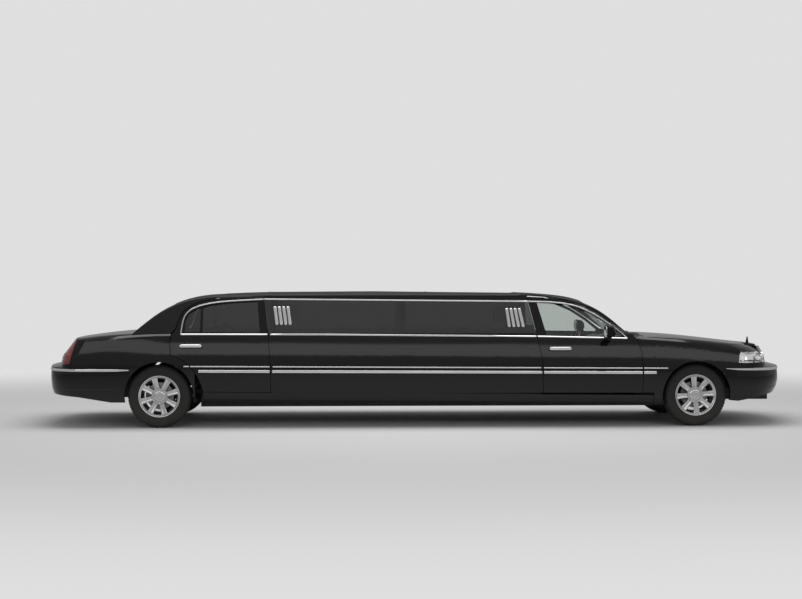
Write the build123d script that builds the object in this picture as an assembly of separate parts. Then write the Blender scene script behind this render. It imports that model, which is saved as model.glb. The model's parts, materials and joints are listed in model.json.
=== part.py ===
from build123d import *
from collections import namedtuple
import functools
import math
import os

# Stretch limousine. Millimetres, +X forward, +Y to its left, +Z up.
# The origin is under the middle of the car, on the ground.

# Overall layout
wheelbase = 6038
front_overhang = 1140
rear_overhang = 1341
body_half_width = 993    # at the widest line, along the doors
rake = 0.0085            # the body's lines fall this much for each millimetre forward
shut_gap = 6             # around every door and lid
seat_gap = 0.3           # where one piece rests on another
door_lean = 0.30         # rear faces of the doors run forward this much for each millimetre inboard

# Wheels and tyres, 225/60 R17
tyre_radius = 351
tyre_width = 225
tyre_wall = 14
bead_radius = 216
rim_flange_radius = 232
rim_flange_width = 12
rim_well_radius = 188
rim_thickness = 8
spoke_count = 8
spoke_hub_width = 52
spoke_rim_width = 66
spoke_depth = 34
hub_cap_radius = 82
front_half_track = body_half_width - 188
rear_half_track = body_half_width - 163
wheel_face_offset = 35   # from the tyre's middle out to the mounting face
kingpin_offset = front_half_track - 90
arch_radius = 386
door_arch_radius = 484
wheelhouse_radius = 430
liner_y = body_half_width - 103   # outboard edge of the wheelhouse liners
liner_plate = 6
arch_lip_radius = 400    # ring that carries the liner from the outer skin

# Walls
skin = 30
wall_thickness = 110     # a whole door or side wall
frame_thickness = 46     # a window frame
glass_thickness = 6
glass_inset = 14         # from the frame's outer face to the glass
roof_thickness = 42

# Floor
floor_z = 284
floor_half = body_half_width - 143 - seat_gap
floor_plate = 22
tunnel_half = 170
tunnel_z = 470

# Heights at the middle of the car
rocker_z = 254
sill_z = 384             # lowest edge of the doors
waist_z = 640            # where the body is widest
crease_z = 964
belt_z = 1026
rail_z = 1462            # top edge of the doors
# Widths of the body's lines from its middle
sill_y = body_half_width - 35
crease_y = body_half_width - 48
belt_y = body_half_width - 90
rail_y = body_half_width - 293
roof_z = 1519

overall_length = wheelbase + front_overhang + rear_overhang
front_axle_x = overall_length / 2 - front_overhang
rear_axle_x = front_axle_x - wheelbase
beyond = 400             # how far a cutter runs past what it cuts


def from_front(distance):
    """A place along the car, measured forward from the front axle."""
    return front_axle_x + distance


def from_rear(distance):
    """A place along the car, measured forward from the rear axle."""
    return rear_axle_x + distance


def fall(x, z):
    """Height of a body line that is z high at the middle of the car."""
    return z - rake * x


def polygon(points):
    return Face(Wire.make_polygon([Vector(*p) for p in points], close=True))


def side_prism(points, y_start, y_end, lean=0.0):
    """A side-view outline, (x, z), carried from y_start to y_end, moving forward by lean on the way."""
    face = polygon([(x, y_start, z) for x, z in points])
    across = y_end - y_start
    return Solid.extrude(face, Vector(lean * abs(across), across, 0))


def length_prism(points, x_start, x_end):
    """A cross-section outline, (y, z) at mid-car, carried along the car down the rake."""
    face = polygon([(x_start, y, fall(x_start, z)) for y, z in points])
    along = x_end - x_start
    return Solid.extrude(face, Vector(along, 0, -rake * along))


def plan_prism(points, z_start, z_end):
    face = polygon([(x, y, z_start) for x, y in points])
    return Solid.extrude(face, Vector(0, 0, z_end - z_start))


def block(x0, x1, y0, y1, z0, z1):
    return plan_prism([(x0, y0), (x1, y0), (x1, y1), (x0, y1)], z0, z1)


def across_cylinder(radius, y0, y1, x, z):
    """A cylinder whose axis runs across the car."""
    return Solid.make_cylinder(radius, y1 - y0, Plane((x, y0, z), x_dir=(1, 0, 0), z_dir=(0, 1, 0)))


def turned(points, x, y, z):
    """A profile of (outboard distance, radius) turned about a wheel's axis on the right side."""
    face = polygon([(x, y - out, z + radius) for out, radius in points])
    return Solid.revolve(face, 360, Axis((x, y, z), (0, 1, 0)))


def left(piece):
    """The same piece on the left side."""
    return mirror(piece, about=Plane.XZ)


def fused(pieces):
    whole = pieces[0]
    for piece in pieces[1:]:
        whole = whole + piece
    return whole


def upright_arc(waist, end):
    """Start, middle and end of an arc that stands upright at the waist and runs to end, (outboard, z) points."""
    inward = waist[0] - end[0]
    rise = end[1] - waist[1]
    radius = (inward ** 2 + rise ** 2) / (2 * inward)
    half_turn = math.asin(rise / radius) / 2
    middle = (waist[0] - radius * (1 - math.cos(half_turn)), waist[1] + radius * math.sin(half_turn))
    return waist, middle, end


def bowed_arc(start, end, bow):
    """Start, middle and end of an arc that stands out from its chord by bow, on the right of its direction."""
    along, rise = end[0] - start[0], end[1] - start[1]
    length = math.hypot(along, rise)
    middle = ((start[0] + end[0]) / 2 + bow * rise / length, (start[1] + end[1]) / 2 - bow * along / length)
    return start, middle, end


# Cross-sections of the lower body, from the tail to the nose: heights at mid-car and, for the floor, sill,
# waist, crease and edge, how far each lies inboard of the widest line.
# The shoulder is an arc from the crease to the edge that stands out from its chord by bow.
Section = namedtuple("Section", "x floor_z floor_in sill_in waist_in crease_z crease_in edge_z edge_in bow crown_z")
body_sections = [
    Section(from_rear(-1240), 310, 193, 107, 78, 890, 143, 905, 273, 4, 918),
    Section(from_rear(-900), 280, 143, 77, 48, 924, 88, 966, 218, 9, 976),
    Section(from_rear(-256), 262, 103, 47, 11, 962, 53, 1024, 143, 15, 1042),
    Section(from_rear(400), 258, 88, 35, 0, crease_z, 48, belt_z, 90, 2, belt_z + 14),
    Section(from_front(-700), 258, 88, 35, 0, crease_z, 48, belt_z, 90, 2, belt_z + 14),
    Section(from_front(-190), 262, 98, 44, 7, 938, 51, 1015, 143, 18, 1037),
    Section(from_front(320), 270, 113, 57, 21, 895, 61, 972, 198, 18, 992),
    Section(from_front(960), 290, 163, 103, 63, 845, 108, 905, 303, 11, 932),
]


def flank_arcs(row, inset):
    """The right flank's sill, door, window-sill and shoulder arcs, all set in by inset."""
    widest = body_half_width - inset
    low = (widest - row.floor_in, row.floor_z + inset)
    sill = (widest - row.sill_in, sill_z)
    waist = (widest - row.waist_in, waist_z)
    crease = (widest - row.crease_in, row.crease_z - inset / 4)
    edge = (widest - row.edge_in, row.edge_z - inset)
    return [
        bowed_arc(low, sill, 12),
        upright_arc(waist, sill)[::-1],
        upright_arc(waist, crease),
        bowed_arc(crease, edge, row.bow),
    ]


def body_wire(row, inset):
    """Floor line, then both flanks and the crown between them."""
    arcs = flank_arcs(row, inset)

    def at(point, side):
        return Vector(row.x, side * point[0], fall(row.x, point[1]))

    low, edge = arcs[0][0], arcs[-1][2]
    crown = (0, row.crown_z - inset)
    edges = [Edge.make_line(at(low, 1), at(low, -1))]
    edges += [Edge.make_three_point_arc(*[at(point, -1) for point in arc]) for arc in arcs]
    edges.append(Edge.make_three_point_arc(at(edge, -1), at(crown, 1), at(edge, 1)))
    edges += [Edge.make_three_point_arc(*[at(point, 1) for point in arc[::-1]]) for arc in arcs[::-1]]
    return Wire(edges)


def body_loft(first, last, inset):
    return Solid.make_loft([body_wire(row, inset) for row in body_sections[first:last]])


# Plan of each end: middle of its face, where its corner starts, and 1 or -1 for forward or rearward
End = namedtuple("End", "face_x corner_x corner_y side")
nose = End(from_front(966), from_front(846), body_half_width - 293, 1)
tail = End(from_rear(-1164), from_rear(-1110), body_half_width - 223, -1)
front_bar = End(from_front(front_overhang), from_front(front_overhang - 135), body_half_width - 393, 1)
rear_bar = End(from_rear(-rear_overhang), from_rear(99 - rear_overhang), body_half_width - 343, -1)
last_turn = math.radians(88)   # the corner arc ends almost along the car

# How far each end is set in as it rises. Columns: z, inset, how far inboard of the widest line its corner ends
nose_rise = [(200, 0, 27), (700, 0, 24), (783, 22, 32), (839, 78, 40), (883, 168, 55), (931, 300, 80),
             (1100, 900, 293)]
middle_rise = [(830, 80, 40), (850, 86, 40), (900, 104, 50), (935, 160, 80), (1100, 700, 293)]
tail_rise = [(200, 0, 31), (740, 0, 43), (800, 12, 53), (985, 150, 113), (1100, 260, 153)]
# The raised middle of the hood, behind the grille. Columns: outboard, z at mid-car
middle_ridge = [(430, 850), (330, 935), (320, 1200)]


def end_wire(end, inset, z, reach, beyond_corner):
    """Plan outline at one height: a face arc, corner arcs tangent to it, then the points given for each side."""
    turn = 2 * math.atan2(abs(end.face_x - end.corner_x), end.corner_y)
    corner_x = end.corner_x - end.side * inset * math.cos(turn)
    corner_y = end.corner_y - inset * math.sin(turn)
    flank_x = corner_x - end.side * (reach - corner_y) * math.tan((turn + last_turn) / 2)
    face = Vector(end.face_x - end.side * inset, 0, z)
    path = [(flank_x, reach)] + beyond_corner(flank_x)

    def half(side):
        corner = Vector(corner_x, side * corner_y, z)
        heading = Vector(-end.side * math.sin(turn), side * math.cos(turn), 0)
        edges = [Edge.make_tangent_arc(corner, heading, Vector(flank_x, side * reach, z))]
        points = [Vector(x, side * y, z) for x, y in path]
        edges += [Edge.make_line(a, b) for a, b in zip(points, points[1:])]
        return edges, corner, points[-1]

    right, right_corner, right_end = half(-1)
    left_side, left_corner, left_end = half(1)
    return Wire([Edge.make_three_point_arc(left_corner, face, right_corner)] + right
                + [Edge.make_line(right_end, left_end)] + left_side[::-1])


def end_form(end, rise, back_x, inset):
    wing_y = body_half_width + 60
    wires = [end_wire(end, inset + step, z, body_half_width - inboard,
                      lambda flank_x: [(flank_x, wing_y), (back_x, wing_y)]) for z, step, inboard in rise]
    return Solid.make_loft(wires, ruled=True)


@functools.cache
def front_body(inset):
    ridge = [(y - inset, z) for y, z in middle_ridge]
    ridge = length_prism(ridge + [(-y, z) for y, z in ridge[::-1]], from_front(-900), from_front(1200))
    middle = end_form(nose, middle_rise, from_front(-900), inset) & ridge
    return body_loft(4, 8, inset) & (end_form(nose, nose_rise, from_front(-900), inset) + middle)


@functools.cache
def rear_body(inset):
    return body_loft(0, 4, inset) & end_form(tail, tail_rise, from_rear(700), inset)


# Doors and side walls: side-view lines, each (place, z)
front_door_back = [
    (from_front(-1898), rail_z - 8),
    (from_front(-1865), 1311),
    (from_front(-1801), 1012),
    (from_front(-1756), 800),
    (from_front(-1742), 704),
    (from_front(-1742), sill_z),
]
front_door_front = [
    (from_front(-617), sill_z),
    (from_front(-617), 659),
    (from_front(-630), 841),
    (from_front(-657), 915),
    (from_front(-684), 989),
    (from_front(-716), 1037),
]
front_door_top = [
    (from_front(-800), 1046),
    (from_front(-983), 1182),
    (from_front(-1187), 1306),
    (from_front(-1380), 1394),
    (from_front(-1520), 1436),
]
front_window = [
    (from_front(-1784), 1392),
    (from_front(-1498), 1375),
    (from_front(-1391), 1356),
    (from_front(-1187), 1272),
    (from_front(-983), 1148),
    (from_front(-838), 1034),
    (from_front(-838), 1012),
    (from_front(-1690), 1022),
]
rear_door_front = [
    (from_rear(1240), sill_z),
    (from_rear(1238), 657),
    (from_rear(1226), 859),
    (from_rear(1207), 1049),
    (from_rear(1152), rail_z),
]
rear_door_top = [
    (from_rear(749), 1452),
    (from_rear(562), 1432),
    (from_rear(445), 1404),
    (from_rear(330), 1354),
    (from_rear(255), 1292),
    (from_rear(212), 1210),
    (from_rear(180), 1100),
]
rear_door_back = [
    (from_rear(136), 1040),
    (from_rear(125), 944),
    (from_rear(133), 861),
    (from_rear(133), sill_z),
]
rear_window = [
    (from_rear(276), 1068),
    (from_rear(284), 1205),
    (from_rear(314), 1272),
    (from_rear(371), 1310),
    (from_rear(456), 1344),
    (from_rear(562), 1371),
    (from_rear(749), 1392),
    (from_rear(1082), 1412),
    (from_rear(1118), 1060),
]
quarter_bar_x = from_rear(461)
long_window_low = 1052
long_window_high = 1436

outer = -(body_half_width + beyond)
tumblehome = (belt_y - rail_y) / (rail_z - belt_z)


def flank_y(z):
    """Outer face of the window frames at a height, right side."""
    return -(belt_y - tumblehome * (z - belt_z))


def door_y(z):
    """Distance from the middle to the doors' outer skin between the waist and the crease."""
    inward, rise = body_half_width - crease_y, crease_z - waist_z
    radius = (inward ** 2 + rise ** 2) / (2 * inward)
    return body_half_width - radius + math.sqrt(radius ** 2 - (z - waist_z) ** 2)


def face_y(z):
    """Outer face of the doors at a height, right side."""
    if z > belt_z:
        return flank_y(z)
    if z > crease_z:
        return -(crease_y - (crease_y - belt_y) * (z - crease_z) / (belt_z - crease_z))
    return -door_y(z) if z > waist_z else -(body_half_width - 8)


def leaned(points, shift):
    """Outline at the cutters' far side whose leaning cut meets the doors' outer face at these points."""
    return [(x + shift - door_lean * (face_y(z) - outer), z) for x, z in points]


def wall_slab(x0, x1, depth_out, depth_in):
    """Slab along the doors and side walls below the belt, between two depths below their outer face."""
    arcs = flank_arcs(body_sections[4], 0)[1:]

    def at(point, depth):
        return Vector(x0, depth - point[0], fall(x0, point[1]))

    out = [Edge.make_three_point_arc(*[at(point, depth_out) for point in arc]) for arc in arcs]
    back = [Edge.make_three_point_arc(*[at(point, depth_in) for point in arc[::-1]]) for arc in arcs[::-1]]
    top = Edge.make_line(at(arcs[-1][2], depth_out), at(arcs[-1][2], depth_in))
    foot = Edge.make_line(at(arcs[0][0], depth_in), at(arcs[0][0], depth_out))
    return Solid.extrude(Face(Wire(out + [top] + back + [foot])), Vector(x1 - x0, 0, -rake * (x1 - x0)))


def rail_slab(x0, x1, depth_out, depth_in):
    """Slab along the window frames, between two depths below their outer face."""
    points = [
        (flank_y(belt_z) + depth_out, belt_z),
        (flank_y(rail_z + 40) + depth_out, rail_z + 40),
        (flank_y(rail_z + 40) + depth_in, rail_z + 40),
        (flank_y(belt_z) + depth_in, belt_z),
    ]
    return length_prism(points, x0, x1)


def rear_cut(points, gap, far_x):
    """Everything ahead of a door's rear line, leaning forward as it goes inboard."""
    ahead = leaned(points, gap)
    low = (far_x, ahead[-1][1] - beyond)
    high = (far_x, ahead[0][1] + beyond)
    outline = [high, (ahead[0][0], high[1])] + ahead + [(ahead[-1][0], low[1]), low]
    return side_prism(outline, outer, 0, door_lean)


def door(outline, back_line, back_gap, x0, x1, window):
    blank = wall_slab(x0, x1, 0, wall_thickness) + rail_slab(x0, x1, 0, frame_thickness)
    blank = blank & side_prism(outline, outer, 0)
    blank = blank & rear_cut(back_line, back_gap, x1 + beyond)
    return blank - side_prism(window, outer, 0)


def door_glass(window, x0, x1):
    slab = rail_slab(x0, x1, glass_inset, glass_inset + glass_thickness)
    opening = side_prism(window, outer, 0)
    return slab & opening


parts = {}

handle_length = 250
handle_depth = 16
handle_reach = 24        # from the door's skin to the inside of the pull


def handle(x, z):
    """Outside pull: a bar with chamfered ends on two feet."""
    skin_y = -door_y(z + rake * x)
    inside_y = skin_y - handle_reach
    half = handle_length / 2
    bar = side_prism([(x - half, z - 9), (x - half + 8, z - 17), (x + half - 8, z - 17), (x + half, z - 9),
                      (x + half, z + 9), (x + half - 8, z + 17), (x - half + 8, z + 17), (x - half, z + 9)],
                     inside_y - handle_depth, inside_y)
    feet = [block(foot_x - 14, foot_x + 14, inside_y - 1, skin_y + 20, z - 13, z + 13)
            for foot_x in (x - half + 22, x + half - 22)]
    return fused([bar] + feet)


def mirror_head(x):
    """Outside mirror: a tapering head on a short arm below the window."""
    head = [(x - 50, 1012), (x - 57, 1060), (x - 57, 1132), (x - 40, 1154), (x + 20, 1146), (x + 46, 1112),
            (x + 54, 1060), (x + 34, 1012)]
    middle_x, middle_z = x - 20, 1080
    rings = [(mirror_inner_y, 0.9), (mirror_inner_y - 90, 1.0), (mirror_outer_y + 30, 0.96), (mirror_outer_y, 0.72)]
    rows = []
    for y, share in rings:
        ring = [Vector(middle_x + (px - middle_x) * share, y, middle_z + (pz - middle_z) * share) for px, pz in head]
        rows.append(Wire.make_polygon(ring, close=True))
    arm = side_prism([(x - 34, 978), (x - 44, 1008), (x - 36, 1026), (x + 22, 1026), (x + 30, 1004), (x + 20, 978)],
                     mirror_inner_y - 40, -belt_y - 2)
    arm_root = block(x - 34, x + 20, -belt_y - 3, -belt_y + 30, 980, 1004)
    return Solid.make_loft(rows, ruled=True) + arm + arm_root


mirror_inner_y = -(belt_y + 74)
mirror_outer_y = -(belt_y + 292)

# Front doors
front_outline = front_door_back[:1] + front_door_top[::-1] + front_door_front[::-1]
front_outline = front_outline + [(from_front(-1950), sill_z), (from_front(-1950), rail_z - 8)]
front_door = door(front_outline, front_door_back, 0, from_front(-2000), from_front(-500), front_window)
front_door = fused([front_door, handle(from_front(-1550), 882), mirror_head(from_front(-1006))])
parts["front_door_right"] = front_door
parts["front_door_glass_right"] = door_glass(front_window, from_front(-2000), from_front(-500))

# Rear doors
rear_outline = rear_door_front + rear_door_top + rear_door_back
rear_door = door(rear_outline, rear_door_back, 0, from_rear(0), from_rear(1400), rear_window)


def door_arch(gap):
    """Cone round the rear wheel that widens inboard by the doors' lean, cut into the rear door's edge."""
    outset = 20
    depth = 320
    outer_radius = door_arch_radius - gap - outset * door_lean
    start = Plane((rear_axle_x, -body_half_width - outset, tyre_radius), x_dir=(1, 0, 0), z_dir=(0, 1, 0))
    return Solid.make_cone(outer_radius, outer_radius + depth * door_lean, depth, start)


rear_door = rear_door - door_arch(0)
rear_door = rear_door + (rail_slab(quarter_bar_x - 14, quarter_bar_x + 14, 8, frame_thickness)
                         & side_prism(rear_window, outer, 0))
rear_door = rear_door + handle(from_rear(356), 918)
parts["rear_door_right"] = rear_door
rear_glass = door_glass(rear_window, from_rear(0), from_rear(1400))
parts["rear_door_glass_right"] = rear_glass - rail_slab(quarter_bar_x - 14, quarter_bar_x + 14, 8, frame_thickness)

# Side walls between the doors, with the rocker under all of them
wall_x0 = from_rear(1100)
roof_seat_z = rail_z + shut_gap + 2 - seat_gap
wall_x1 = from_front(-1700)
wall_blank = wall_slab(wall_x0, wall_x1, 0, wall_thickness) + rail_slab(wall_x0 - 80, wall_x1, 0, frame_thickness)
behind = [(x + shut_gap, z) for x, z in rear_door_front]
wall_window = [
    (from_rear(1152 + shut_gap - 100), long_window_low),
    (from_front(-1600), long_window_low),
    (from_front(-1600), long_window_high),
    (from_rear(1152 + shut_gap - 100), long_window_high),
]
wall_far_x = from_front(-1500)
wall_outline = behind[:-1] + [(behind[-1][0], roof_seat_z), (wall_far_x, roof_seat_z), (wall_far_x, sill_z)]
front_limit = rear_cut(front_door_back, -shut_gap, from_front(200))
wall = (wall_blank & side_prism(wall_outline, outer, 0)) - front_limit
window_band = side_prism(wall_window, outer, 0)
pillars = [from_rear(1270), (wall_x0 + wall_x1) / 2, from_front(-1960)]
open_window = window_band & rail_slab(wall_x0 - 80, wall_x1 + 10, -2, frame_thickness + 2)
pillar_bars = [rail_slab(x - 40, x + 40, glass_inset + glass_thickness, frame_thickness) for x in pillars]
long_glass = wall & open_window & rail_slab(wall_x0 - 80, wall_x1, 4, glass_thickness + glass_inset)
wall = wall - open_window
for bar in pillar_bars:
    wall = wall + (bar & open_window)
rocker_inner_y = floor_half + seat_gap
rocker_top_z = sill_z - shut_gap
rocker_section = [(-rocker_inner_y - 12, rocker_z), (-sill_y + 53, rocker_z + 6), (-sill_y + 20, 300),
                  (-sill_y + 5, 345), (-sill_y + 2, rocker_top_z), (-rocker_inner_y, rocker_top_z),
                  (-rocker_inner_y, rocker_z)]
rocker = length_prism(rocker_section, from_rear(wheelhouse_radius + 60), from_front(-wheelhouse_radius - 60))
tie = length_prism([(-sill_y + 2, sill_z - shut_gap), (-sill_y + 2, sill_z + 1),
                    (-rocker_inner_y - 2, sill_z + 1), (-rocker_inner_y - 2, sill_z - shut_gap)],
                   from_rear(1260), from_front(-1770))


def seal_flange(x0, x1, depth_out, depth_in):
    """Upright strip inboard of a door's inner face, where its seal lies."""
    return wall_slab(x0, x1, wall_thickness + depth_out, wall_thickness + depth_in)


flange_depth = 24
flange_root = -3
flanges = [seal_flange(from_rear(1190), from_rear(1300), seat_gap, flange_depth),
           seal_flange(from_rear(1250), from_rear(1300), flange_root, flange_depth)]
parts["side_wall_right"] = fused([wall, rocker, tie] + flanges)
parts["long_window_right"] = long_glass

# Front body: hood, fenders and nose
hood_half_width = body_half_width - 253
hood_back_x = from_front(-560)
hood_front_x = from_front(1000)
bumper_top_z = 655
rear_bumper_top_z = 672
shelf_height = 34        # the sloping ledge from each bumper's bright strip up to the body
lamp_foot_z = 712
lamp_top_z = 842
lamp_inner_y = body_half_width - 593
lamp_gap = 3
grille_top_z = 882
front_shell = front_body(0) - front_body(skin)
hood_plan = [
    (hood_back_x, -hood_half_width - 40),
    (hood_front_x, -hood_half_width + 60),
    (hood_front_x, hood_half_width - 60),
    (hood_back_x, hood_half_width + 40),
]
ornament_x = from_front(812)
ornament_top_z = 976
ornament = side_prism([(ornament_x, grille_top_z), (ornament_x + 44, grille_top_z),
                       (ornament_x + 30, ornament_top_z), (ornament_x + 20, ornament_top_z)], -4, 4)
ornament = ornament - front_body(skin / 2)
grille_room = block(from_front(600), hood_front_x + 200, -lamp_inner_y - lamp_gap, lamp_inner_y + lamp_gap, 800,
                    grille_top_z + shut_gap)
hood = (front_shell & plan_prism(hood_plan, lamp_top_z + shut_gap, 1200)) - grille_room
parts["hood"] = hood + ornament
fender_zone = plan_prism(
    [
        (from_front(-716 + shut_gap), -1100),
        (hood_front_x, -1100),
        (hood_front_x, -hood_half_width + 60 - shut_gap),
        (hood_back_x, -hood_half_width - 40 - shut_gap),
        (from_front(-716 + shut_gap), -hood_half_width - 40 - shut_gap),
    ],
    200,
    1200,
)
nose_strip = block(from_front(600), from_front(1200), -hood_half_width + 40, -lamp_inner_y, 600, lamp_foot_z)
fender = front_shell & (fender_zone + nose_strip)
door_side = [(x + shut_gap, z) for x, z in front_door_front]
fender = fender & side_prism(
    [(door_side[0][0], 100)] + door_side
    + [(door_side[-1][0], 1300), (from_front(1200), 1300), (from_front(1200), 100)],
    outer,
    0,
)
fender = fender - across_cylinder(arch_radius, -1100, 0, front_axle_x, tyre_radius)
lamp_zone = side_prism(
    [(from_front(478), lamp_foot_z), (from_front(494), lamp_top_z), (from_front(1200), lamp_top_z),
     (from_front(1200), lamp_foot_z - 8)], outer, 0)
fender = fender - lamp_zone - side_prism(
    [(from_front(arch_radius - 60), 100), (from_front(arch_radius - 60), bumper_top_z),
     (from_front(1200), bumper_top_z), (from_front(1200), 100)], outer, 0)
rocker_clear = block(from_front(-700), from_front(-wheelhouse_radius - 54), -1000, -840, 200, sill_z)
fender = fender - rocker_clear


def wheelhouse(axle_x, back_x, front_x, inner_y, lip_y):
    """Liner round the top of a wheel, with a flat ring and a lip out to the skin."""
    rings = [
        (wheelhouse_radius, liner_y, inner_y, wheelhouse_radius),
        (arch_lip_radius, liner_y + liner_plate, liner_y, wheelhouse_radius),
        (arch_lip_radius, lip_y, liner_y, arch_lip_radius),
    ]
    pieces = []
    for inner_radius, outer_y, near_y, outer_radius in rings:
        ring = across_cylinder(outer_radius + liner_plate, -outer_y, -near_y, axle_x, tyre_radius)
        ring = ring - across_cylinder(inner_radius, -outer_y - 1, -near_y + 1, axle_x, tyre_radius)
        pieces.append(ring)
    pieces[2] = pieces[2] & block(axle_x - 320, axle_x + 320, -lip_y, -liner_y, tyre_radius, 1000)
    return fused(pieces) & block(back_x, front_x, -lip_y, -inner_y, tyre_radius + 60, 1000)


fender = fender + wheelhouse(front_axle_x, from_front(-500), from_front(500), 600, 962)


def edge_band(points, inboard, outboard, low_z):
    """Plan strip along a hood or lid edge, from so far inboard to so far outboard of it."""
    low = [(x, y + inboard) for x, y in points]
    high = [(x, y - outboard) for x, y in points]
    return plan_prism(low + high[::-1], low_z, 1200)


def edge_ledge(body, edge, low_z):
    """The gutter that a hood or lid rests on: it starts inside the fixed panel and dips under the lid."""
    strip = (body(skin - 10) & edge_band(edge, 30, 40, low_z)) - body(skin + 10)
    return strip - (edge_band(edge, 40, shut_gap, low_z - 1) - body(skin + seat_gap))


hood_edge_slope = 100 / (hood_front_x - hood_back_x)
ledge_end = from_front(600)
hood_edge = [(hood_back_x, -hood_half_width - 40),
             (ledge_end, -hood_half_width - 40 + hood_edge_slope * (ledge_end - hood_back_x))]
fender = fender + edge_ledge(front_body, hood_edge, 860)
parts["fender_right"] = fender
lamp = (front_body(2) - front_body(90)) & side_prism(
    [(from_front(478) + lamp_gap, lamp_foot_z + seat_gap), (from_front(494) + lamp_gap, lamp_top_z - lamp_gap),
     (from_front(1200), lamp_top_z - lamp_gap), (from_front(1200), lamp_foot_z + seat_gap - 8)],
    outer, -lamp_inner_y)
parts["headlamp_right"] = lamp

# Grille: a frame with upright bars
grille_half = lamp_inner_y - lamp_gap
grille_frame = 26
grille_depth = 30
grille_bar_pitch = 34
grille_bar_width = 11
grille_rise = [(500, -8, 27), (700, -8, 27), (783, 10, 32), (845, 46, 40), (900, 76, 55)]


def grille_slab(y0, y1, z0, z1, depth_out, depth_in):
    """Piece of the grille's curved slab, between two depths below its outer face."""
    room = block(from_front(700), from_front(1200), y0, y1, z0, z1)
    back_x = from_front(-900)
    return (end_form(nose, grille_rise, back_x, depth_out) & room) - end_form(nose, grille_rise, back_x, depth_in)


grille_foot_z = bumper_top_z + seat_gap
opening_half = grille_half - grille_frame
frame_slab = grille_slab(-grille_half, grille_half, grille_foot_z, grille_top_z, 0, grille_depth)
frame_slab = frame_slab - block(from_front(600), from_front(1200), -opening_half, opening_half,
                                grille_foot_z + 2 * grille_frame, grille_top_z - grille_frame)
bar_slab = grille_slab(-opening_half - 4, opening_half + 4, grille_foot_z + grille_frame,
                       grille_top_z - grille_frame / 2, 8, grille_depth - 4)
slot_count = int(2 * opening_half / grille_bar_pitch)
slot_width = grille_bar_pitch - grille_bar_width
slots = []
for index in range(slot_count):
    slot_y = (index - (slot_count - 1) / 2) * grille_bar_pitch
    slots.append(block(from_front(600), from_front(1200), slot_y - slot_width / 2, slot_y + slot_width / 2,
                       grille_foot_z + 2 * grille_frame - 1, grille_top_z - grille_frame + 1))
grille = frame_slab + (bar_slab - slots)
parts["grille"] = grille

# Rear body: quarters and trunk lid
rear_shell = rear_body(0) - rear_body(skin)
lid_half_width = body_half_width - 353
lid_front_x = from_rear(-306)
lid_foot_z = rear_bumper_top_z + shelf_height + shut_gap
lid_zone = plan_prism(
    [(lid_front_x, -lid_half_width), (lid_front_x, lid_half_width),
     (from_rear(-1400), lid_half_width - 60), (from_rear(-1400), -lid_half_width + 60)], lid_foot_z, 1200)
lid = rear_shell & lid_zone
parts["trunk_lid"] = lid
quarter_zone = plan_prism(
    [(from_rear(400), -1100), (from_rear(-1400), -1100), (from_rear(-1400), -lid_half_width + 60 - shut_gap),
     (lid_front_x, -lid_half_width - shut_gap), (from_rear(400), -lid_half_width - shut_gap)], 200, 1200)
quarter = rear_shell & quarter_zone
door_limit = rear_cut(rear_door_back, -shut_gap, from_rear(1500)) - door_arch(shut_gap)
quarter = quarter - door_limit
quarter = quarter - across_cylinder(arch_radius, -1100, 0, rear_axle_x, tyre_radius)
quarter = quarter - side_prism(
    [(from_rear(-arch_radius + 60), 100), (from_rear(-arch_radius + 60), rear_bumper_top_z),
     (from_rear(-1400), rear_bumper_top_z),
     (from_rear(-1400), 100)], outer, 0)
quarter = quarter - block(from_rear(wheelhouse_radius + 54), from_rear(700), -1000, -840, 200, sill_z)
tail_lamp_zone = side_prism(
    [(from_rear(-930), 1000), (from_rear(-998), 706), (from_rear(-1400), 706), (from_rear(-1400), 1000)], outer, 0)
quarter = quarter - tail_lamp_zone
quarter = quarter + wheelhouse(rear_axle_x, from_rear(-500), from_rear(400), 640, 970)
lid_edge_slope = 60 / (from_rear(-1400) - lid_front_x)
lid_ledge_end = from_rear(-880)
lid_edge = [(lid_front_x, -lid_half_width),
            (lid_ledge_end, -lid_half_width + lid_edge_slope * (lid_ledge_end - lid_front_x))]
quarter = quarter + edge_ledge(rear_body, lid_edge, 880)
parts["quarter_right"] = quarter
tail_lamp = (rear_body(2) - rear_body(80)) & tail_lamp_zone & quarter_zone & block(
    from_rear(-1400), from_rear(-800), -1100, 0, lid_foot_z, 985)
parts["tail_lamp_right"] = tail_lamp

# Greenhouse, from the foot of the back glass to the foot of the windshield
Arch = namedtuple("Arch", "x edge_z crown_z")
roof_sections = [
    Arch(from_rear(-300), 1052, 1070),
    Arch(from_rear(-34), 1262, 1309),
    Arch(from_rear(253), 1398, 1437),
    Arch(from_rear(620), 1458, 1488),
    Arch(from_rear(1200), 1475, 1512),
    Arch(from_rear(2400), 1480, roof_z),
    Arch(from_front(-2000), 1476, 1501),
    Arch(from_front(-1620), 1463, 1487),
    Arch(from_front(-1430), 1429, 1467),
    Arch(from_front(-1240), 1376, 1424),
    Arch(from_front(-900), 1162, 1216),
    Arch(from_front(-540), 930, 990),
]


greenhouse_base_z = 870  # the form is closed well below the belt


def roof_wire(row, inset):
    x, edge_z, crown_z = row
    low_y = -flank_y(greenhouse_base_z) - inset
    edge_y = -flank_y(edge_z) - inset
    low_z = greenhouse_base_z
    return Wire([
        Edge.make_line(Vector(x, low_y, low_z), Vector(x, -low_y, low_z)),
        Edge.make_line(Vector(x, -low_y, low_z), Vector(x, -edge_y, edge_z - inset)),
        Edge.make_three_point_arc(Vector(x, -edge_y, edge_z - inset), Vector(x, 0, crown_z - inset),
                                  Vector(x, edge_y, edge_z - inset)),
        Edge.make_line(Vector(x, edge_y, edge_z - inset), Vector(x, low_y, low_z)),
    ])


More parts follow.
